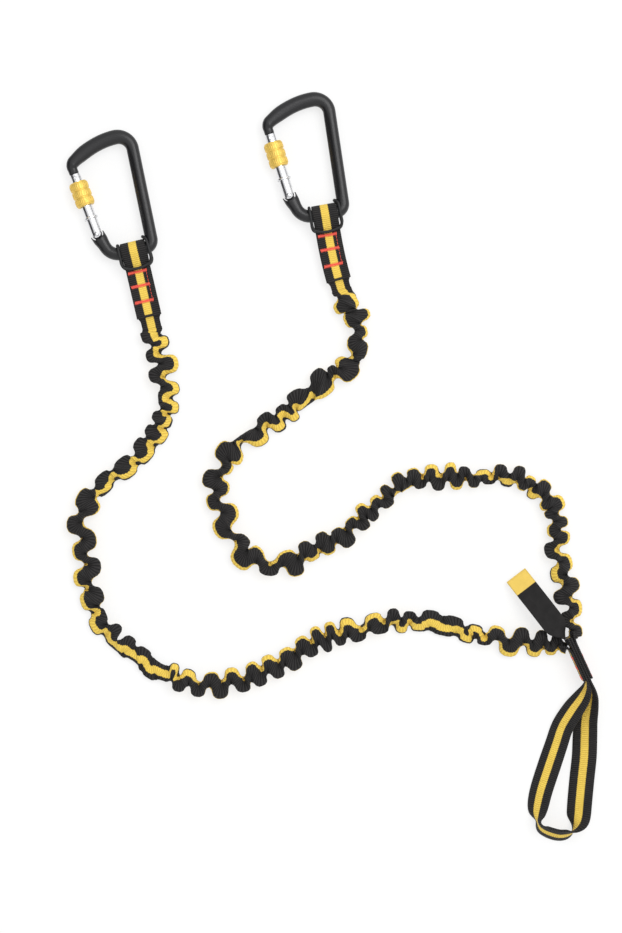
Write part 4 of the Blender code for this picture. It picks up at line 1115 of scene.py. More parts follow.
def arm_route(side):
    """The arm's middle line, from the eye's stem to its sewn end, which it runs over a little."""
    start, start_direction = stem_place(side, ENDS[side]["stem"])
    ply = [place for place, _, _ in ply_stations(side)]
    end, end_direction = ply[-1], heading(PLIES[side]["heading"])
    level = Vector((1.0, 1.0, 0.0))
    first, last = start * level + start_direction * GAP, end * level + end_direction * GAP
    points = [first + start_direction * ARM_END_RUN]
    points += [Vector((x, y, 0.0)) for x, y in ROUTES[side]]
    points += [last + end_direction * ARM_END_RUN]
    return Route([first, *smooth(points, ROUTE_STEPS), last, *ply[-2:-2 - SEWN_OVERLAP:-1]])


def flatness(roll):
    """How flat the tube lies at that roll, 1 where its stripe faces straight up."""
    return ramp(abs(math.sin(math.radians(roll))), FLAT_FROM, 1.0)


def fold_stations(route, tips):
    """Folds along the route, in the order of travel: distance, offset to the left and roll."""
    folds, at = [], 0.0
    for right, down, roll in tips:
        low, high = (at + reach for reach in FOLD_SEARCH)
        at, offset = route.nearest(from_pixel(right, down), low, high)
        if folds and (folds[-1][1] > 0) == (offset > 0):
            middle = (folds[-1][0] + at) / 2
            folds.append((middle, -math.copysign(FOLD_RETURN, offset), (folds[-1][2] + roll) / 2))
        if len(folds) > 1:
            at = max(at, folds[-2][0] + FOLD_LEAST)
        if folds:
            roll += 180.0 * round((folds[-1][2] - roll) / 180.0)
        folds.append((at, offset, float(roll)))
    return folds


def fold_edges(route, folds, seed):
    """Each fold's left and right edge as (distance, offset), its roll, side and loft."""
    depth = np.random.default_rng(seed).uniform(*FOLD_DEPTH, len(folds))
    half = STEM_END_WIDTH / 2 + GAP
    marks = [0.0, *(distance for distance, _, _ in folds), route.length]
    wobble = np.random.default_rng(seed + 4).uniform(-ROLL_WOBBLE, ROLL_WOBBLE, len(folds))
    edges = []
    for index, (distance, offset, roll) in enumerate(folds):
        roll += wobble[index] * abs(math.cos(math.radians(roll)))
        low, high = FOLD_NOTCH
        inner = low + (high - low) * abs(math.sin(math.radians(roll))) + depth[index]
        inner += (BAND_HALF - inner) * flatness(roll) * BAND_SHARE
        gap = min(distance - marks[index], marks[index + 2] - distance)
        inner = max(inner, (CROSSING_LEAST - CROSSING_LOSS * gap) / 2)
        between = (marks[index] + marks[index + 2]) / 2
        outer, inward = (distance, offset), (between, -math.copysign(inner, offset))
        pair = (outer, inward) if offset > 0 else (inward, outer)
        edges.append((*pair, roll, math.copysign(1.0, offset), 1.0))
    last_roll = 180.0 * round(folds[-1][2] / 180.0)
    first = ((0.0, half), (0.0, -half), 90.0, -edges[0][3], TUBE_END_LOFTS[0])
    left, right = (route.length, TUBE_END_HALF), (route.length, -TUBE_END_HALF)
    end = (left, right, last_roll, -edges[-1][3], TUBE_END_LOFTS[1])
    return [first, *edges, end]


def arm_edges(route, folds, seed):
    """For each row: left and right edge, roll, share between two folds, loft and distance."""
    stations = fold_edges(route, folds, seed)
    dips = np.random.default_rng(seed + 2).uniform(0.0, FOLD_DIP, len(stations))
    sways = np.random.default_rng(seed + 6).uniform(-ROLL_WOBBLE, ROLL_WOBBLE, len(stations))
    parts = []
    for here, there, dip, sway in zip(stations, stations[1:], dips, sways):
        spans = [math.dist(here[edge], there[edge]) for edge in (0, 1)]
        count = max(4, 2 * round(sum(spans) * CROSSING_ROWS / ROW_STEP / 2))
        turn = np.pi * np.arange(count) / count
        fan = FOLD_FAN if min(here[4], there[4]) > FULL_LOFT else END_FAN
        edges, distance = [], 0.0
        for sign, edge in ((1.0, 0), (-1.0, 1)):
            (low, low_offset), (high, high_offset) = here[edge], there[edge]
            bent = turn + sign * here[3] * fan * np.sin(turn)
            spread = min(high - low, FOLD_SPREAD)
            along = low + (high - low) * bent / np.pi + FOLD_SLOPE * spread * np.sin(2 * bent)
            bulge = FOLD_BULGE * max(spread, FOLD_BULGE_LEAST)
            along = along + sign * here[3] * bulge * np.sin(bent)
            offset = low_offset + (high_offset - low_offset) * (1.0 - np.cos(bent)) / 2
            places, lefts = route.place(np.clip(along, 0.0, route.length))
            edges.append(places + lefts * offset[:, None])
            distance = distance + along / 2
        share = (1.0 - np.cos(turn)) / 2
        roll = here[2] + (there[2] - here[2]) * share
        upright = 180.0 * np.round(roll / 180.0)
        firm = max(flatness(here[2]), flatness(there[2]), float(fan < 1.0))
        roll = roll + (sway - (roll - upright) * dip) * (1.0 - firm) * np.sin(turn) ** 2
        loft = here[4] + (there[4] - here[4]) * share
        parts.append((*edges, roll, np.sin(turn) ** 2, loft, distance))
    end, left = route.place(np.array([route.length]))
    parts.append((
        end + left * stations[-1][0][1], end + left * stations[-1][1][1],
        *(np.array([value]) for value in (stations[-1][2], 0.0, stations[-1][4], route.length)),
    ))
    return [np.concatenate(part) for part in zip(*parts)]


def crumpled(count, waves, seed):
    """Smooth noise along the rows, between -1 and 1."""
    source = np.random.default_rng(seed)
    knots = source.uniform(-1.0, 1.0, max(4, count // waves))
    return np.interp(np.linspace(0, len(knots) - 1, count), np.arange(len(knots)), knots)


def arm_rings(route, folds, seed):
    """Rings of the gathered tube, its weave's distances, and a line inside it for the elastic."""
    left, right, roll, between, loft, distance = arm_edges(route, folds, seed)
    count = len(left)
    middle, chord = (left + right) / 2, left - right
    width = np.linalg.norm(chord, axis=1)
    aside = chord / width[:, None]
    full = loft > FULL_LOFT
    half = np.maximum(width / 2, np.where(full, *TUBE_HALF_LEAST))
    half = half * (1.0 + CROSSING_SWELL * between * full)
    turned = np.radians(roll)
    tall = TUBE_HALF[0] + (TUBE_HALF[1] - TUBE_HALF[0]) * between
    tall = tall * (1.0 + CRUMPLE_HEIGHT * crumpled(count, CRUMPLE_ROWS[0], seed))
    thick = TUBE_LOFT * loft
    height = np.hypot(tall * np.cos(turned), thick * np.sin(turned))
    tilt = (tall**2 - thick**2) * np.sin(turned) * np.cos(turned) / (half * height)
    phase = np.arcsin(np.clip(tilt, -TUBE_TILT, TUBE_TILT))
    stem_level = BAR_HEIGHT - (STRAP_THICKNESS + GAP) / 2
    level = height + ARM_REST + (stem_level - height - ARM_REST) * (1.0 - ramp(distance, 0.0, STEM_BLEND))
    shift = CRUMPLE * crumpled(count, CRUMPLE_ROWS[1], seed + 1) * full
    relief = np.where(np.arange(count) % 2, ROW_RELIEF, -ROW_RELIEF)
    turns = np.arange(FOLD_SIDES) * math.tau / FOLD_SIDES
    cos, sin = np.cos(turns)[None, :], np.sin(turns[None, :] - phase[:, None])
    out = (half + relief)[:, None] * cos + shift[:, None]
    up = np.maximum(level[:, None] + (height + relief)[:, None] * sin, ARM_REST / 2)
    points = np.concatenate(
        (middle[:, None, :] + aside[:, None, :] * out[..., None], up[..., None]), axis=2,
    )
    closed = np.concatenate((points, points[:, :1]), axis=1)
    steps = np.linalg.norm(np.diff(closed, axis=1), axis=2) * MM
    girth = np.concatenate((np.zeros((count, 1)), np.cumsum(steps, axis=1)), axis=1)
    across = np.zeros_like(girth)
    for row in range(count):
        normals = np.arctan2(half[row] * np.sin(turns), height[row] * np.cos(turns - phase[row]))
        normals = np.unwrap(np.append(normals, normals[0]))
        normals[-1] = normals[0] + math.tau
        whole, rest = divmod(math.radians(roll[row]) - normals[0], math.tau)
        round_row = girth[row, -1]
        from_stripe = girth[row] - np.interp(rest + normals[0], normals, girth[row]) - whole * round_row
        stripe = np.round(from_stripe / (round_row / 2))
        across[row] = from_stripe + stripe * (TUBE_GIRTH - round_row) / 2
    centre = np.concatenate((middle, level[:, None]), axis=1)
    along = np.concatenate(([0.0], np.cumsum(np.linalg.norm(np.diff(centre, axis=0), axis=1)))) * MM
    on_route = route.on(distance)
    inside = np.concatenate((on_route + (middle - on_route) * CORE_SWAY, level[:, None]), axis=1)
    return points, along, across, inside[4:-4:4]


class LANYARD_OT_stage(bpy.types.Operator):
    """Place the camera, the floor and the light"""

    bl_idname = "lanyard.stage"
    bl_label = "Stage"

    def execute(self, context):
        sizes = context.scene.lanyard_stage
        camera = bpy.data.cameras.new("camera")
        camera.lens, camera.sensor_width, camera.clip_end = CAMERA_LENS, CAMERA_SENSOR, CAMERA_SIGHT
        thing = link("camera", camera)
        thing.location = CAMERA_AT
        context.scene.camera = thing
        context.scene.view_settings.view_transform = "Standard"
        self.make_floor(sizes)
        context.scene.world = self.make_sky(sizes)

        lamp = bpy.data.lights.new("large_lamp", "AREA")
        lamp.shape, (lamp.size, lamp.size_y) = "RECTANGLE", LAMP_SIZES
        lamp.energy = sizes.lamp
        thing = link("large_lamp", lamp)
        thing.location = LAMP_AT
        aim = Vector(LAMP_AIM) - thing.location
        thing.rotation_euler = aim.to_track_quat("-Z", "Y").to_euler()
        return {"FINISHED"}

    def make_floor(self, sizes):
        floor = Surface("pale_floor")
        glow = floor.node("ShaderNodeEmission", {"Color": WHITE})
        share = floor.math("MULTIPLY", floor.seen()[0], FLOOR_GLOW)
        blend = floor.node("ShaderNodeMixShader", {0: share, 1: floor.shader, 2: glow})
        output = next(node for node in floor.tree.nodes if node.type == "OUTPUT_MATERIAL")
        floor.join(blend, output.inputs["Surface"])
        grain = floor.math("MULTIPLY", floor.noise(30.0), 0.1)
        tone = floor.mixed(grain, toned(sizes.floor), toned(sizes.floor, 0.97))
        floor.finish(Base_Color=tone, Roughness=1.0)
        mesh = bpy.data.meshes.new("floor")
        signs = ((-1, -1), (1, -1), (1, 1), (-1, 1))
        corners = [(x * FLOOR_REACH, y * FLOOR_REACH, 0.0) for x, y in signs]
        mesh.from_pydata(corners, [], [(0, 1, 2, 3)])
        mesh.materials.append(floor.material)
        link("floor", mesh)

    def make_sky(self, sizes):
        """A white studio, with a dark band that only glossy metal shows."""
        world = bpy.data.worlds.new("studio")
        world.use_nodes = True
        sky = Graph(world.node_tree)
        seen, glossy = sky.seen()
        strength = sky.spread(seen, 0.0, 1.0, sizes.sky, 1.0)
        way = sky.node("ShaderNodeTexCoord").outputs["Generated"]
        band = sky.spread(sky.node("ShaderNodeSeparateXYZ", {0: way}), *SKY_BAND)
        tone = sky.mixed(sky.math("MULTIPLY", band, glossy), WHITE, (0.05, 0.05, 0.055, 1.0))
        background = sky.tree.nodes["Background"].inputs
        sky.join(tone, background["Color"])
        sky.join(strength, background["Strength"])
        return world


class LANYARD_OT_arms(bpy.types.Operator):
    """Make the two gathered arms, with the elastic inside them"""

    bl_idname = "lanyard.arms"
    bl_label = "Gathered Arms"

    def execute(self, context):
        webbing = material_of(striped_webbing)
        height = ARM_REST + ARM_HEIGHT / 2
        for side, seed in ARM_SEEDS.items():
            route = arm_route(side)
            folds = fold_stations(route, FOLD_TIPS[side])
            points, along, across, inside = arm_rings(route, folds, seed)
            arm = woven(f"{side}_gathered_arm", points, along, across, webbing)
            settle(arm, "lanyard", f"{side}_arm_sheath")
            core = self.core(side, [Vector(point) for point in inside])
            distances = np.linspace(0.0, route.length, CORD_POINTS)
            line = [(*map(float, route.on(distance)), height) for distance in distances]
        return {"FINISHED"}

    def core(self, side, line):
        """The elastic, which runs straight through the folds."""
        asides = [left_of(travel_at(line, index)).normalized() for index in range(len(line))]
        rings = [ring_round(at, aside, UP, CORE_RADIUS, CORE_SIDES) for at, aside in zip(line, asides)]
        core = tube(f"{side}_elastic", rings, material_of(elastic_cord))
        settle(core, "lanyard", f"{side}_arm_elastic_core")
        return core


def section(at, angle, width, height, roundness, facet=0.0, sides=ROD_SIDES):
    """A ring of the frame's rod; its spine has a facet that slopes down to the inside."""
    side = left_of(heading(angle))
    ring = []
    for step in range(sides):
        turn = math.tau * (step + 0.5) / sides
        c, s = math.cos(turn), math.sin(turn)
        out = math.copysign(abs(c) ** roundness, c)
        up = math.copysign(abs(s) ** roundness, s) * height / 2
        inside = max(0.0, (out - SPINE_FACET_START) / (1.0 - SPINE_FACET_START))
        up *= 1.0 - SPINE_FACET_DROP * facet * min(inside * 1.4, 1.0)
        ring.append(at + side * (out * width / 2) + Vector((0.0, 0.0, up)))
    return ring


def rod_places():
    """The rod's path from the hinge cup to the hook: the arguments of each section."""
    rod = (SPINE_WIDTH, BAR_RADIUS * 2, ROD_ROUNDNESS)
    bar = (BAR_RADIUS * 2, BAR_RADIUS * 2, 1.0)
    corner, end, travel, rivet = hinge_points()
    places = []
    for share in even_shares(8):
        wide = HINGE_CUP_WIDTH + (SPINE_WIDTH - HINGE_CUP_WIDTH) * float(ramp(share, 0.35, 0.95))
        tall = BAR_RADIUS * 2 * (0.9 + 0.1 * float(ramp(share, 0.0, 0.5)))
        places.append((rivet.lerp(end, share), travel + 180.0, wide, tall, ROD_ROUNDNESS))
    for part in even_shares(14)[1:]:
        share = 1.0 - part
        angle = 360.0 - HINGE_CORNER_TURN * share
        at = corner + heading(angle - 90.0) * HINGE_CORNER_RADIUS
        places.append((at, angle, *(rod if share > 0.8 else bar)))
    full = 90.0 - SPINE_LEAN
    corner = Vector((BAR_RIGHT, SPINE_CORNER_RADIUS, 0.0))
    for share in even_shares(12):
        at = corner + heading(full * share - 90.0) * SPINE_CORNER_RADIUS
        soft = 1.0 + (ROD_ROUNDNESS - 1.0) * share
        places.append((at, full * share, SPINE_WIDTH, BAR_RADIUS * 2, soft))
    for share in even_shares(16)[1:]:
        facet = float(ramp(share, 0.0, 0.16) * (1.0 - ramp(share, 0.9, 1.0)))
        places.append((at + heading(full) * SPINE_LENGTH * share, full, *rod, facet))
    corner = places[-1][0] + left_of(heading(full)) * TOP_CORNER_RADIUS
    for share in even_shares(14)[1:]:
        angle = full + (180.0 - full) * share
        width = SPINE_WIDTH + (TOP_WIDTH - SPINE_WIDTH) * share
        at = corner + heading(angle - 90.0) * TOP_CORNER_RADIUS
        places.append((at, angle, width, *rod[1:]))
    nose = nose_places(rivet)
    start, finish, turned = places[-1][0], nose[0][0], nose[0][1]
    pull = (finish - start).length / 3
    pulls = (start - Vector((pull, 0.0, 0.0)), finish - heading(turned) * pull)
    for t in even_shares(13)[1:-1]:
        s = 1.0 - t
        at = start * s**3 + pulls[0] * 3 * s * s * t + pulls[1] * 3 * s * t * t + finish * t**3
        wide = TOP_WIDTH + (NOSE_BEND_WIDTH - TOP_WIDTH) * float(ramp(t, 0.7, 1.0))
        places.append((at, 180.0 + (turned - 180.0) * t, wide, *rod[1:]))
    return places + nose


def nose_places(rivet):
    """From the end of the top round the nose to the hook inside the gate."""
    gate = heading(90.0 + GATE_TILT)
    back = 270.0 + GATE_TILT
    tip = rivet + gate * (GATE_LENGTH + NOSE_CLEARANCE)
    inside = tip + gate * NECK_LENGTH - left_of(gate) * (NECK_WIDTH / 2 + NOSE_BEND_RADIUS)
    places = []
    for share in even_shares(9):
        angle = back - NOSE_BEND_TURN * (1.0 - share)
        width = NOSE_BEND_WIDTH + (NECK_WIDTH - NOSE_BEND_WIDTH) * share
        height = BAR_RADIUS * 2 + (NECK_WIDTH - BAR_RADIUS * 2) * float(ramp(share, 0.2, 1.0))
        at = inside + heading(angle - 90.0) * (width / 2 + NOSE_BEND_RADIUS)
        places.append((at, angle, width, height, ROD_ROUNDNESS))
    edge = NOSE_EDGE
    places.append((tip + gate * edge, back, NECK_WIDTH, NECK_WIDTH, ROD_ROUNDNESS))
    places.append((tip, back, NECK_WIDTH - edge, NECK_WIDTH - edge, ROD_ROUNDNESS))
    hook = (HOOK_WIDTH, TONGUE_THICKNESS, TONGUE_ROUNDNESS)
    places += [(tip, back, *hook), (tip - gate * (HOOK_LENGTH - edge), back, *hook)]
    tapered = (HOOK_WIDTH - edge, TONGUE_THICKNESS - edge, TONGUE_ROUNDNESS)
    return [*places, (tip - gate * HOOK_LENGTH, back, *tapered)]


class LANYARD_OT_frames(bpy.types.Operator):
    """Make the two bent rods of the carabiners, cupped and tongued at the hinge"""

    bl_idname = "lanyard.frames"
    bl_label = "Carabiner Frames"

    def execute(self, context):
        finish = material_of(anodised_rod)
        sections = [section(*place) for place in rod_places()]
        for side in SIDES:
            place, gate = carabiner_place(side), gate_place(side)
            rod = tube(f"{side}_rod", sections, finish, place, sharp=ROD_SHARP)
            combine(rod, drill(HINGE_CUP_RADIUS, BAR_RADIUS, finish, gate, CUP_SIDES), "DIFFERENCE")
            combine(rod, self.tongue(place, finish), "UNION")
            combine(rod, drill(RIVET_RADIUS + GAP, BAR_RADIUS, finish, gate), "DIFFERENCE")
            combine(rod, self.notch(gate, finish), "DIFFERENCE")
            rod.data.set_sharp_from_angle(angle=math.radians(ROD_SHARP))
            settle(rod, f"{side}_carabiner", f"{side}_carabiner_frame")
        return {"FINISHED"}

    def tongue(self, place, finish):
        """The flat tongue that runs from the rod into the gate's slot, past the rivet."""
        _, end, travel, rivet = hinge_points()
        gate, size = 90.0 + GATE_TILT, (HINGE_TONGUE_WIDTH, TONGUE_THICKNESS, TONGUE_ROUNDNESS)
        rings = [
            section(rivet.lerp(end, 0.75), travel, *size), section(rivet, travel, *size),
            section(rivet + heading(gate) * HINGE_TONGUE_END, gate, *size),
        ]
        return tube("tongue", rings, finish, place)

    def notch(self, gate, finish):
        """The hook's notch: round where the latch pin sits, and open to the D's inside."""
        radius, half = LATCH_PIN_RADIUS + GAP, TONGUE_THICKNESS / 2 + OVERCUT
        middle, mouth = GATE_LENGTH - LATCH_PIN_INSET, HOOK_WIDTH / 2 + OVERCUT
        outline = [(mouth, middle + radius), (mouth, middle - radius)]
        for step in range(13):
            turn = math.radians(270.0) - math.pi * step / 12
            outline.append((radius * math.cos(turn), middle + radius * math.sin(turn)))
        rings = [[Vector((x, y, end)) for x, y in outline] for end in (-half, half)]
        return tube("cutter", rings, finish, gate)


class LANYARD_OT_gates(bpy.types.Operator):
    """Make the bright gates with their slots, spring bores, rivets, latch pins and stop rings"""

    bl_idname = "lanyard.gates"
    bl_label = "Gates"

    def execute(self, context):
        steel = material_of(polished_gate)
        for side in SIDES:
            place = gate_place(side)
            gate = lathe(
                f"{side}_gate_tube", self.tube_profile(), GATE_SIDES, steel, place, sharp=GATE_SHARP,
            )
            for cutter in self.cutters(place, steel):
                combine(gate, cutter, "DIFFERENCE")
            gate.data.set_sharp_from_angle(angle=math.radians(GATE_SHARP))
            settle(gate, f"{side}_gate_unit", f"{side}_gate")

            top = GATE_RADIUS + RIVET_STAND_OUT
            dome = [(RIVET_RADIUS * share, top - drop) for share, drop in RIVET_DOME]
            profile = [(r, -z) for r, z in dome] + dome[::-1]
            rivet = lathe(f"{side}_domed_rivet", profile, HOLE_SIDES, steel, place, axis="Z")
            settle(rivet, f"{side}_carabiner", f"{side}_gate_rivet")

            inner, outer, half = GATE_RADIUS + GAP, STOP_RING_RADIUS, STOP_RING_WIDTH / 2
            edge = STOP_RING_EDGE
            profile = [(inner, -half), (outer - edge, -half), (outer, edge - half)]
            profile += [(outer, half - edge), (outer - edge, half), (inner, half)]
            profile = [(r, STOP_RING_AT + y) for r, y in profile]
            ring = lathe(
                f"{side}_stop_band", profile, STOP_RING_SIDES, steel, place, closed=True,
            )
            settle(ring, f"{side}_gate_unit", f"{side}_sleeve_stop_ring")

            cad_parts[f"{side}_latch_pin"].material_slots[0].material = steel
        return {"FINISHED"}

    def tube_profile(self):
        """The gate's outline, round at its hinge end and broken at its nose end."""
        radius, length, edge = GATE_RADIUS, GATE_LENGTH, GATE_EDGE
        turns = [math.radians(90.0 - 9.0 * step) for step in range(11)]
        profile = [(radius * math.cos(a), -radius * math.sin(a)) for a in turns]
        profile += [(radius, GATE_SHOULDER), (radius, length - edge)]
        profile += [(radius - edge * 0.3, length - edge * 0.3), (radius - edge, length)]
        return profile + [(0.0, length)]

    def cutters(self, place, steel):
        """The two slots, the spring's bore and the holes for the rivet and the latch pin."""
        half_slot, reach = TONGUE_THICKNESS / 2 + GAP, GATE_RADIUS + OVERCUT
        slots = ((-reach, HINGE_SLOT_DEPTH), (GATE_LENGTH - HOOK_SLOT_DEPTH, GATE_LENGTH + OVERCUT))
        made = [box((-reach, low, -half_slot), (reach, high, half_slot), place) for low, high in slots]
        ends = (HINGE_SLOT_DEPTH - OVERCUT, HINGE_SLOT_DEPTH + SPRING_BORE_LENGTH)
        bore = [(SPRING_BORE_RADIUS, end) for end in ends]
        made.append(lathe("cutter", bore, BORE_SIDES, steel, place))
        for at, radius in ((0.0, RIVET_RADIUS), (GATE_LENGTH - LATCH_PIN_INSET, LATCH_PIN_RADIUS)):
            hole = place @ Matrix.Translation((0.0, at, 0.0))
            made.append(drill(radius + GAP, GATE_RADIUS, steel, hole))
        return made


class LANYARD_OT_springs(bpy.types.Operator):
    """Make the gate springs and dress their followers"""

    bl_idname = "lanyard.springs"
    bl_label = "Gate Springs"

    def execute(self, context):
        wire = material_of(drawn_wire)
        high = HINGE_SLOT_DEPTH + SPRING_BORE_LENGTH - GAP - SPRING_WIRE_RADIUS
        rise = SPRING_WIRE_RADIUS * 2.2
        turns = [0.0, SPRING_CLOSED, SPRING_TURNS - SPRING_CLOSED, SPRING_TURNS]
        heights = [SPRING_START, SPRING_START + rise, high - rise, high]
        rings, along = [], Vector((0.0, 1.0, 0.0))
        for turn in np.linspace(0.0, SPRING_TURNS, SPRING_TURNS * SPRING_STEPS + 1):
            out = Vector((math.cos(math.tau * turn), 0.0, math.sin(math.tau * turn)))
            middle = out * SPRING_RADIUS + Vector((0.0, float(np.interp(turn, turns, heights)), 0.0))
            rings.append(ring_round(middle, out, along, SPRING_WIRE_RADIUS, SPRING_SIDES))
        for side in SIDES:
            place = gate_place(side)
            spring = tube(f"{side}_wire_spring", rings, wire, place)
            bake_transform(spring)
            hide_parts(f"{side}_gate_spring")
            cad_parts[f"{side}_spring_follower"].material_slots[0].material = wire
        return {"FINISHED"}


class LANYARD_OT_sleeves(bpy.types.Operator):
    """Make the gold screw sleeves with three knurled bands"""

    bl_idname = "lanyard.sleeves"
    bl_label = "Screw Sleeves"

    def execute(self, context):
        sizes = context.scene.lanyard_carabiner
        gold = material_of(gold_sleeve)
        band = (SLEEVE_LENGTH - SLEEVE_GROOVE * (SLEEVE_BANDS + 1)) / SLEEVE_BANDS
        bore, floor, edge = GATE_RADIUS + GAP, SLEEVE_RADIUS - SLEEVE_GROOVE_DEPTH, SLEEVE_EDGE
        crown = SLEEVE_RADIUS - sizes.knurl_height
        profile = [(bore, 0.0), (floor - edge, 0.0), (floor, edge)]
        for index in range(SLEEVE_BANDS):
            low = SLEEVE_GROOVE * (index + 1) + band * index
            high = low + band
            profile += [(floor, low - edge), (crown - edge * 0.4, low), (crown, low + edge)]
            profile += [(crown, high - edge), (crown - edge * 0.4, high), (floor, high + edge)]
        end = SLEEVE_LENGTH
        profile += [(floor, end - edge), (floor - edge, end), (bore, end)]
        turn = Matrix.Rotation(math.radians(-90.0), 4, "X")
        along = Matrix.Translation((0.0, SLEEVE_START, 0.0)) @ turn
        for side in SIDES:
            sleeve = lathe(
                f"{side}_screw_sleeve", profile, SLEEVE_SIDES, gold, Matrix.Identity(4), closed=True,
                axis="Z",
            )
            run_tree(sleeve, knurled_bands, {
                "Ridges": sizes.knurls, "Bands": SLEEVE_BANDS, "Radius": crown,
                "First Band": SLEEVE_GROOVE + band / 2, "Band Pitch": band + SLEEVE_GROOVE,
                "Ridge Length": band / 2 - KNURL_INSET, "Ridge Width": KNURL_HALF_WIDTH,
                "Ridge Height": sizes.knurl_height, "Finish": gold,
            })
            sleeve.data.transform(gate_place(side) @ along)
            settle(sleeve, f"{side}_sleeve", f"{side}_lock_sleeve")
        return {"FINISHED"}


class LANYARD_OT_eyes(bpy.types.Operator):
    """Make the webbing eyes round the carabiners' bars"""

    bl_idname = "lanyard.eyes"
    bl_label = "Webbing Eyes"

    def execute(self, context):
        webbing = material_of(striped_webbing)
        ply = (STRAP_THICKNESS + GAP) / 2
        radius = BAR_RADIUS + EYE_CLEARANCE + STRAP_THICKNESS / 2
        meet = math.degrees(math.atan2(ply, EYE_CLOSE) + math.acos(radius / math.hypot(EYE_CLOSE, ply)))
        for side in SIDES:
            stem = ENDS[side]["stem"]
            path = []
            for step in range(25):
                path.append((EYE_TOP_END + (EYE_CLOSE - EYE_TOP_END) * step / 24, ply, STRAP_WIDTH / 2))
            for step in range(33):
                turn = math.radians(meet + (360.0 - 2 * meet) * step / 32)
                path.append((radius * math.cos(turn), radius * math.sin(turn), STRAP_WIDTH / 2))
            for step in range(33):
                distance = EYE_CLOSE + (stem + STEM_TUCK - EYE_CLOSE) * step / 32
                narrow = float(ramp(distance, *(EYE_TOP_END + at for at in EYE_NARROWS)))
                half = (STRAP_WIDTH + (STEM_END_WIDTH - STRAP_WIDTH) * narrow) / 2
                path.append((distance, -ply, half))
            stations = []
            for distance, height, half in path:
                at, direction = stem_place(side, distance)
                stations.append((at + Vector((0.0, 0.0, height)), left_of(direction), half))
            rings, along, across = strap_rings(rows(stations), STRAP_THICKNESS)
            # The upper ply's end stays black: a painted shadow where the ply ends.
            along = [value - PAINTED_END_SHADOW * MM for value in along]
            eye = woven(f"{side}_webbing_eye", rings, along, across, webbing)
            settle(eye, "lanyard", f"{side}_eye_webbing")
        return {"FINISHED"}


def keeper_ear(reach, tuck, bulge):
    """Points of one ear, from the front span over the bar to the back span."""
    wire = KEEPER_WIRE_RADIUS
    beside = STRAP_WIDTH / 2 + KEEPER_SIDE_GAP + wire
    span_height = STRAP_THICKNESS + GAP + wire + EYE_CLEARANCE
    ear_height = BAR_RADIUS + GAP + wire
    points = [
        Vector((beside - 5 * wire, -KEEPER_AT, span_height)),
        Vector((beside - 1.2 * wire + bulge / 3, -KEEPER_AT + 1.6 * wire, span_height + GAP)),
        Vector((beside + bulge * 0.85, -KEEPER_AT + 4.2 * wire, (span_height + ear_height) / 2 + GAP)),
    ]
    for step in range(KEEPER_EAR_STEPS + 1):
        turn = math.radians(KEEPER_EAR_TURN * (1.0 - 2 * step / KEEPER_EAR_STEPS))
        c, s = math.cos(turn), math.sin(turn)
        points.append(Vector((
            beside - tuck * max(c, 0.0) ** 3 + bulge * (1.0 - c) / 1.5,
            math.copysign(abs(c) ** KEEPER_ROUNDNESS, c) * reach,
            math.copysign(abs(s) ** KEEPER_ROUNDNESS, s) * ear_height,
        )))
    return points + [Vector((p.x, p.y, -p.z)) for p in reversed(points[:3])]


class LANYARD_OT_keepers(bpy.types.Operator):
    """Make the rubber keeper rings across the eyes"""

    bl_idname = "lanyard.keepers"
    bl_label = "Keeper Rings"

    def execute(self, context):
        rubber = material_of(keeper_rubber)
        left_reach = BAR_RADIUS + 2 * GAP + KEEPER_WIRE_RADIUS
        right_reach = left_reach + EYE_CLEARANCE + STRAP_THICKNESS
        right = keeper_ear(right_reach, KEEPER_TUCK, KEEPER_BULGE)
        left = [Vector((-p.x, p.y, p.z)) for p in reversed(keeper_ear(left_reach, 0.0, 0.0))]
        sags = [Vector((0.0, -KEEPER_AT - KEEPER_SAG, p.z)) for p in (right[-1], right[0])]
        path = smooth(right + sags[:1] + left + sags[1:], 4, closed=True)
        for side in SIDES:
            rings = []
            for index, point in enumerate(path):
                along = (path[(index + 1) % len(path)] - path[index - 1]).normalized()
                inwards = Vector((0.0, -KEEPER_AT / 2, 0.0)) - point
                first = (inwards - along * inwards.dot(along)).normalized()
                second = along.cross(first)
                rings.append(ring_round(point, first, second, KEEPER_RADIUS, KEEPER_SIDES))
            place = carabiner_place(side)
            ring = tube(f"{side}_rubber_keeper", rings, rubber, place, closed=True)
            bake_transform(ring)
            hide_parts(f"{side}_keeper_ring")
        return {"FINISHED"}


def stack_place(distance, lane):
    """A place in the stack: distance from the loop's end, lane counted to the right."""
    along = heading(STACK_HEADING)
    middle = left_of(along) * (-LANE / 2)
    return middle + along * (distance - STACK_LENGTH / 2) - left_of(along) * lane * LANE


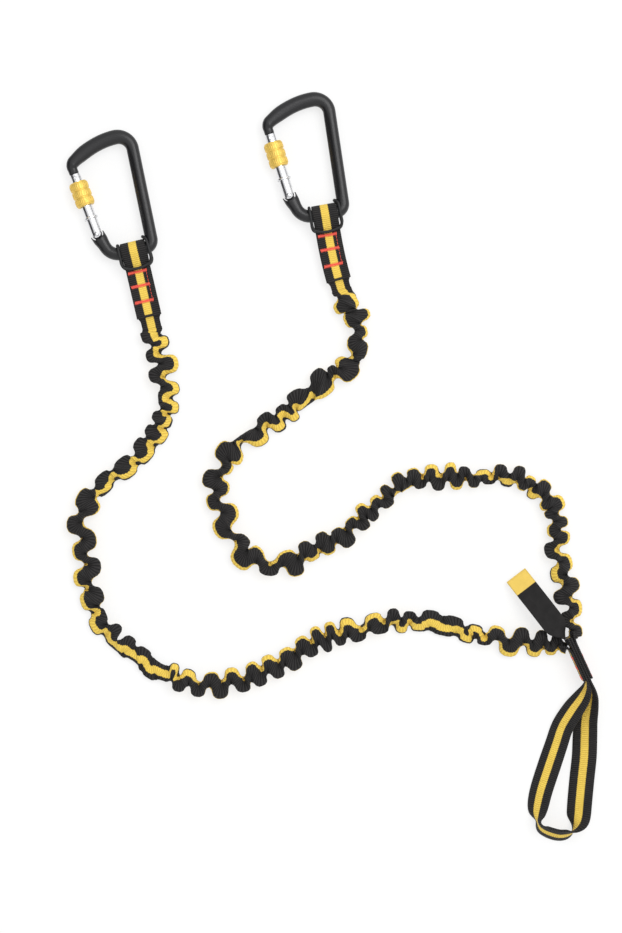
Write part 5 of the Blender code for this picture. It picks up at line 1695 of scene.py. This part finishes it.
class LANYARD_OT_stitches(bpy.types.Operator):
    """Sew the bar tacks and thread lines on both faces of the eyes and of the junction"""

    bl_idname = "lanyard.stitches"
    bl_label = "Stitches"

    def execute(self, context):
        for side in SIDES:
            tacks, line = self.eye_lines(side)
            self.sew(f"{side}_eye_stitches", tacks, line, f"{side}_eye_bar_tacks")
            tacks, line = self.junction_lines(-1.0 if side == "left" else 1.0)
            self.sew(f"{side}_junction_stitches", tacks, line, f"{side}_junction_bar_tacks")
        return {"FINISHED"}

    def sew(self, name, tacks, line, node):
        sizes = bpy.context.scene.lanyard_stitching
        thread = material_of(twisted_thread)
        bars = stitched(
            f"{name}_bars", tacks, TACK_WIDTH, sizes.radius, sizes.spacing, 90.0, TACK_ZIGZAG, thread,
        )
        run = stitched(
            f"{name}_line", line, LINE_STITCH, sizes.radius * 0.8, LINE_SPACING, 0.0, 0.0, thread,
        )
        piece = joined(name, [bars, run])
        settle(piece, "lanyard", node)

    def eye_lines(self, side):
        tacks, lines, end = [], [], TACK_LENGTH / 2
        for face in (1.0, -1.0):
            out = UP * face
            height = face * (STRAP_THICKNESS + GAP / 2 + THREAD_LIFT)

            def place(along, across):
                at, direction = stem_place(side, along)
                return at + left_of(direction) * (across - EYE_TACK_SHIFT) + Vector((0.0, 0.0, height))

            for at in EYE_TACKS_AT:
                tacks.append([(place(at, end * share), out) for share in (-1.0, -0.5, 0.0, 0.5, 1.0)])
            span = EYE_TACKS_AT[-1] - EYE_TACKS_AT[0]
            lines.append([
                (place(EYE_TACKS_AT[0] + span * step / 12, end - LINE_INSET), out) for step in range(13)
            ])
        return tacks, lines

    def junction_lines(self, sign):
        along_stack = heading(STACK_HEADING)
        out = left_of(along_stack) * -sign

        def place(along, across):
            at = stack_place(along, 0.0) + out * (2 * LANE - GAP / 2 + THREAD_LIFT)
            return at + Vector((0.0, 0.0, STRAP_WIDTH / 2 + across))

        end = TACK_LENGTH / 2
        tacks = [
            [(place(at, end * share), out) for share in (-1.0, 0.0, 1.0)] for at in JUNCTION_TACKS_AT
        ]
        ends = (JUNCTION_TACKS_AT[0], JUNCTION_TACKS_AT[-1])
        return tacks, [[(place(along, end - LINE_INSET), out) for along in ends]]


class LANYARD_OT_junction(bpy.types.Operator):
    """Make the flat sewn ends of the arms in the stack"""

    bl_idname = "lanyard.junction"
    bl_label = "Sewn Junction"

    def execute(self, context):
        webbing = material_of(striped_webbing)
        for side in SIDES:
            end = strap(f"{side}_sewn_ply", ply_stations(side), PRESSED_THICKNESS, webbing)
            settle(end, "lanyard", f"{side}_arm_sewn_end")
        return {"FINISHED"}


class LANYARD_OT_loop(bpy.types.Operator):
    """Make the attachment loop that is sewn into the junction"""

    bl_idname = "lanyard.loop"
    bl_label = "Attachment Loop"

    def execute(self, context):
        webbing = material_of(striped_webbing)
        half = STRAP_WIDTH / 2
        origin = stack_place(0.0, 0.0)
        knots = [(stack_place(STACK_LENGTH, -0.5), 0.0, 0.0), (stack_place(0.0, -0.5), 0.0, 0.0)]
        for right, down, lean, lift in LOOP_SHARES:
            at = origin + Vector((right * LOOP_SPREAD, -down * LOOP_LENGTH, 0.0))
            knots.append((at, lean, lift * STRAP_WIDTH))
        knots += [(stack_place(0.0, 0.5), 0.0, 0.0), (stack_place(STACK_LENGTH, 0.5), 0.0, 0.0)]
        flat = [at for at, _, _ in knots]
        curve = [flat[0], *smooth(flat[1:-1], LOOP_STEPS), flat[-1]]
        bands = [knots[0][1:]]
        leans = smooth([Vector((lean, lift, 0.0)) for _, lean, lift in knots[1:-1]], LOOP_STEPS)
        bands += [(value.x, max(value.y, 0.0)) for value in leans] + [knots[-1][1:]]
        stations = []
        for index, (point, (lean, lift)) in enumerate(zip(curve, bands)):
            travel = (travel_at(curve, index) * Vector((1.0, 1.0, 0.0))).normalized()
            if index in (0, 1):
                travel = -heading(STACK_HEADING)
            if index > len(curve) - 3:
                travel = heading(STACK_HEADING)
            height = lean_height(half, lean, STRAP_THICKNESS) + lift
            stations.append((point + Vector((0.0, 0.0, height)), leaned(travel, lean), half))
        loop = strap("attachment_loop", stations, PRESSED_THICKNESS, webbing)
        settle(loop, "lanyard", "harness_loop")
        return {"FINISHED"}


class LANYARD_OT_label(bpy.types.Operator):
    """Make the folded label, blank, with a bright end"""

    bl_idname = "lanyard.label"
    bl_label = "Label"

    def execute(self, context):
        spread = (LABEL_THICKNESS + GAP) / 2
        root, exit_place = stack_place(LABEL_START, -1.5), stack_place(STACK_LENGTH, -1.5)
        values = [(root, STACK_HEADING, *LABEL_SHARES[0][1:])]
        for along, width, lean, height in LABEL_SHARES:
            at = exit_place + heading(LABEL_HEADING) * (along * LABEL_LENGTH)
            values.append((at, LABEL_HEADING if along else STACK_HEADING, width, lean, height))
        places = smooth([at for at, *_ in values], 6)
        sizes = smooth([Vector((turn, width, lean)) for _, turn, width, lean, _ in values], 6)
        heights = smooth([Vector((height, 0.0, 0.0)) for *_, height in values], 6)
        upper, lower = [], []
        for at, (turn, width, lean), (height, _, _) in zip(places, sizes, heights):
            direction, across = heading(turn), leaned(heading(turn), lean)
            middle = at + Vector((0.0, 0.0, height * LABEL_WIDTH))
            face = direction.cross(across).normalized() * spread
            half = min(width, 1.0) * LABEL_WIDTH / 2
            upper.append((middle - face, across, half))
            lower.append((middle + face, across, half))
        bend = []
        face = (lower[-1][0] - upper[-1][0]) / 2
        for step in range(1, 6):
            turn = math.pi * step / 6
            tip = upper[-1][0] + face * (1.0 - math.cos(turn))
            tip += heading(LABEL_HEADING) * spread * math.sin(turn)
            bend.append((tip, *upper[-1][1:]))
        rings, along, across = strap_rings(
            rows([*upper, *bend, *reversed(lower)], LABEL_ROW), LABEL_THICKNESS, 0.0,
        )
        middle = along[-1] / 2
        tape = material_of(woven_tape)
        label = woven("folded_label", rings, [value - middle for value in along], across, tape)
        settle(label, "lanyard", "label")
        return {"FINISHED"}


OPERATORS = (
    LANYARD_OT_stage, LANYARD_OT_arms, LANYARD_OT_frames, LANYARD_OT_gates, LANYARD_OT_springs,
    LANYARD_OT_sleeves, LANYARD_OT_eyes, LANYARD_OT_keepers, LANYARD_OT_junction, LANYARD_OT_loop,
    LANYARD_OT_stitches, LANYARD_OT_label,
)
SETTINGS = {
    "lanyard_stage": LANYARD_PG_stage,
    "lanyard_webbing": LANYARD_PG_webbing,
    "lanyard_carabiner": LANYARD_PG_carabiner,
    "lanyard_stitching": LANYARD_PG_stitching,
    "lanyard_label": LANYARD_PG_label,
}


class LANYARD_PT_pieces(bpy.types.Panel):
    """Lists the pieces with their sizes and colours"""

    bl_idname = "LANYARD_PT_pieces"
    bl_label = "Two-Arm Elastic Lanyard"
    bl_space_type = "VIEW_3D"
    bl_region_type = "UI"
    bl_category = "Lanyard"

    def draw(self, context):
        for name, group in SETTINGS.items():
            column = self.layout.box().column(align=True)
            column.label(text=name.split("_")[1].title())
            for setting in group.__annotations__:
                column.prop(getattr(context.scene, name), setting)
        for operator in OPERATORS:
            self.layout.operator(operator.bl_idname)


def register():
    for group in SETTINGS.values():
        bpy.utils.register_class(group)
    for name, group in SETTINGS.items():
        setattr(bpy.types.Scene, name, PointerProperty(type=group))
    for kind in (*OPERATORS, LANYARD_PT_pieces):
        bpy.utils.register_class(kind)


def unregister():
    for kind in (LANYARD_PT_pieces, *reversed(OPERATORS)):
        bpy.utils.unregister_class(kind)
    for name in SETTINGS:
        delattr(bpy.types.Scene, name)
    for group in reversed(SETTINGS.values()):
        bpy.utils.unregister_class(group)


def main():
    register()
    for operator in OPERATORS:
        group, name = operator.bl_idname.split(".")
        getattr(getattr(bpy.ops, group), name)()


if __name__ == "__main__":
    main()
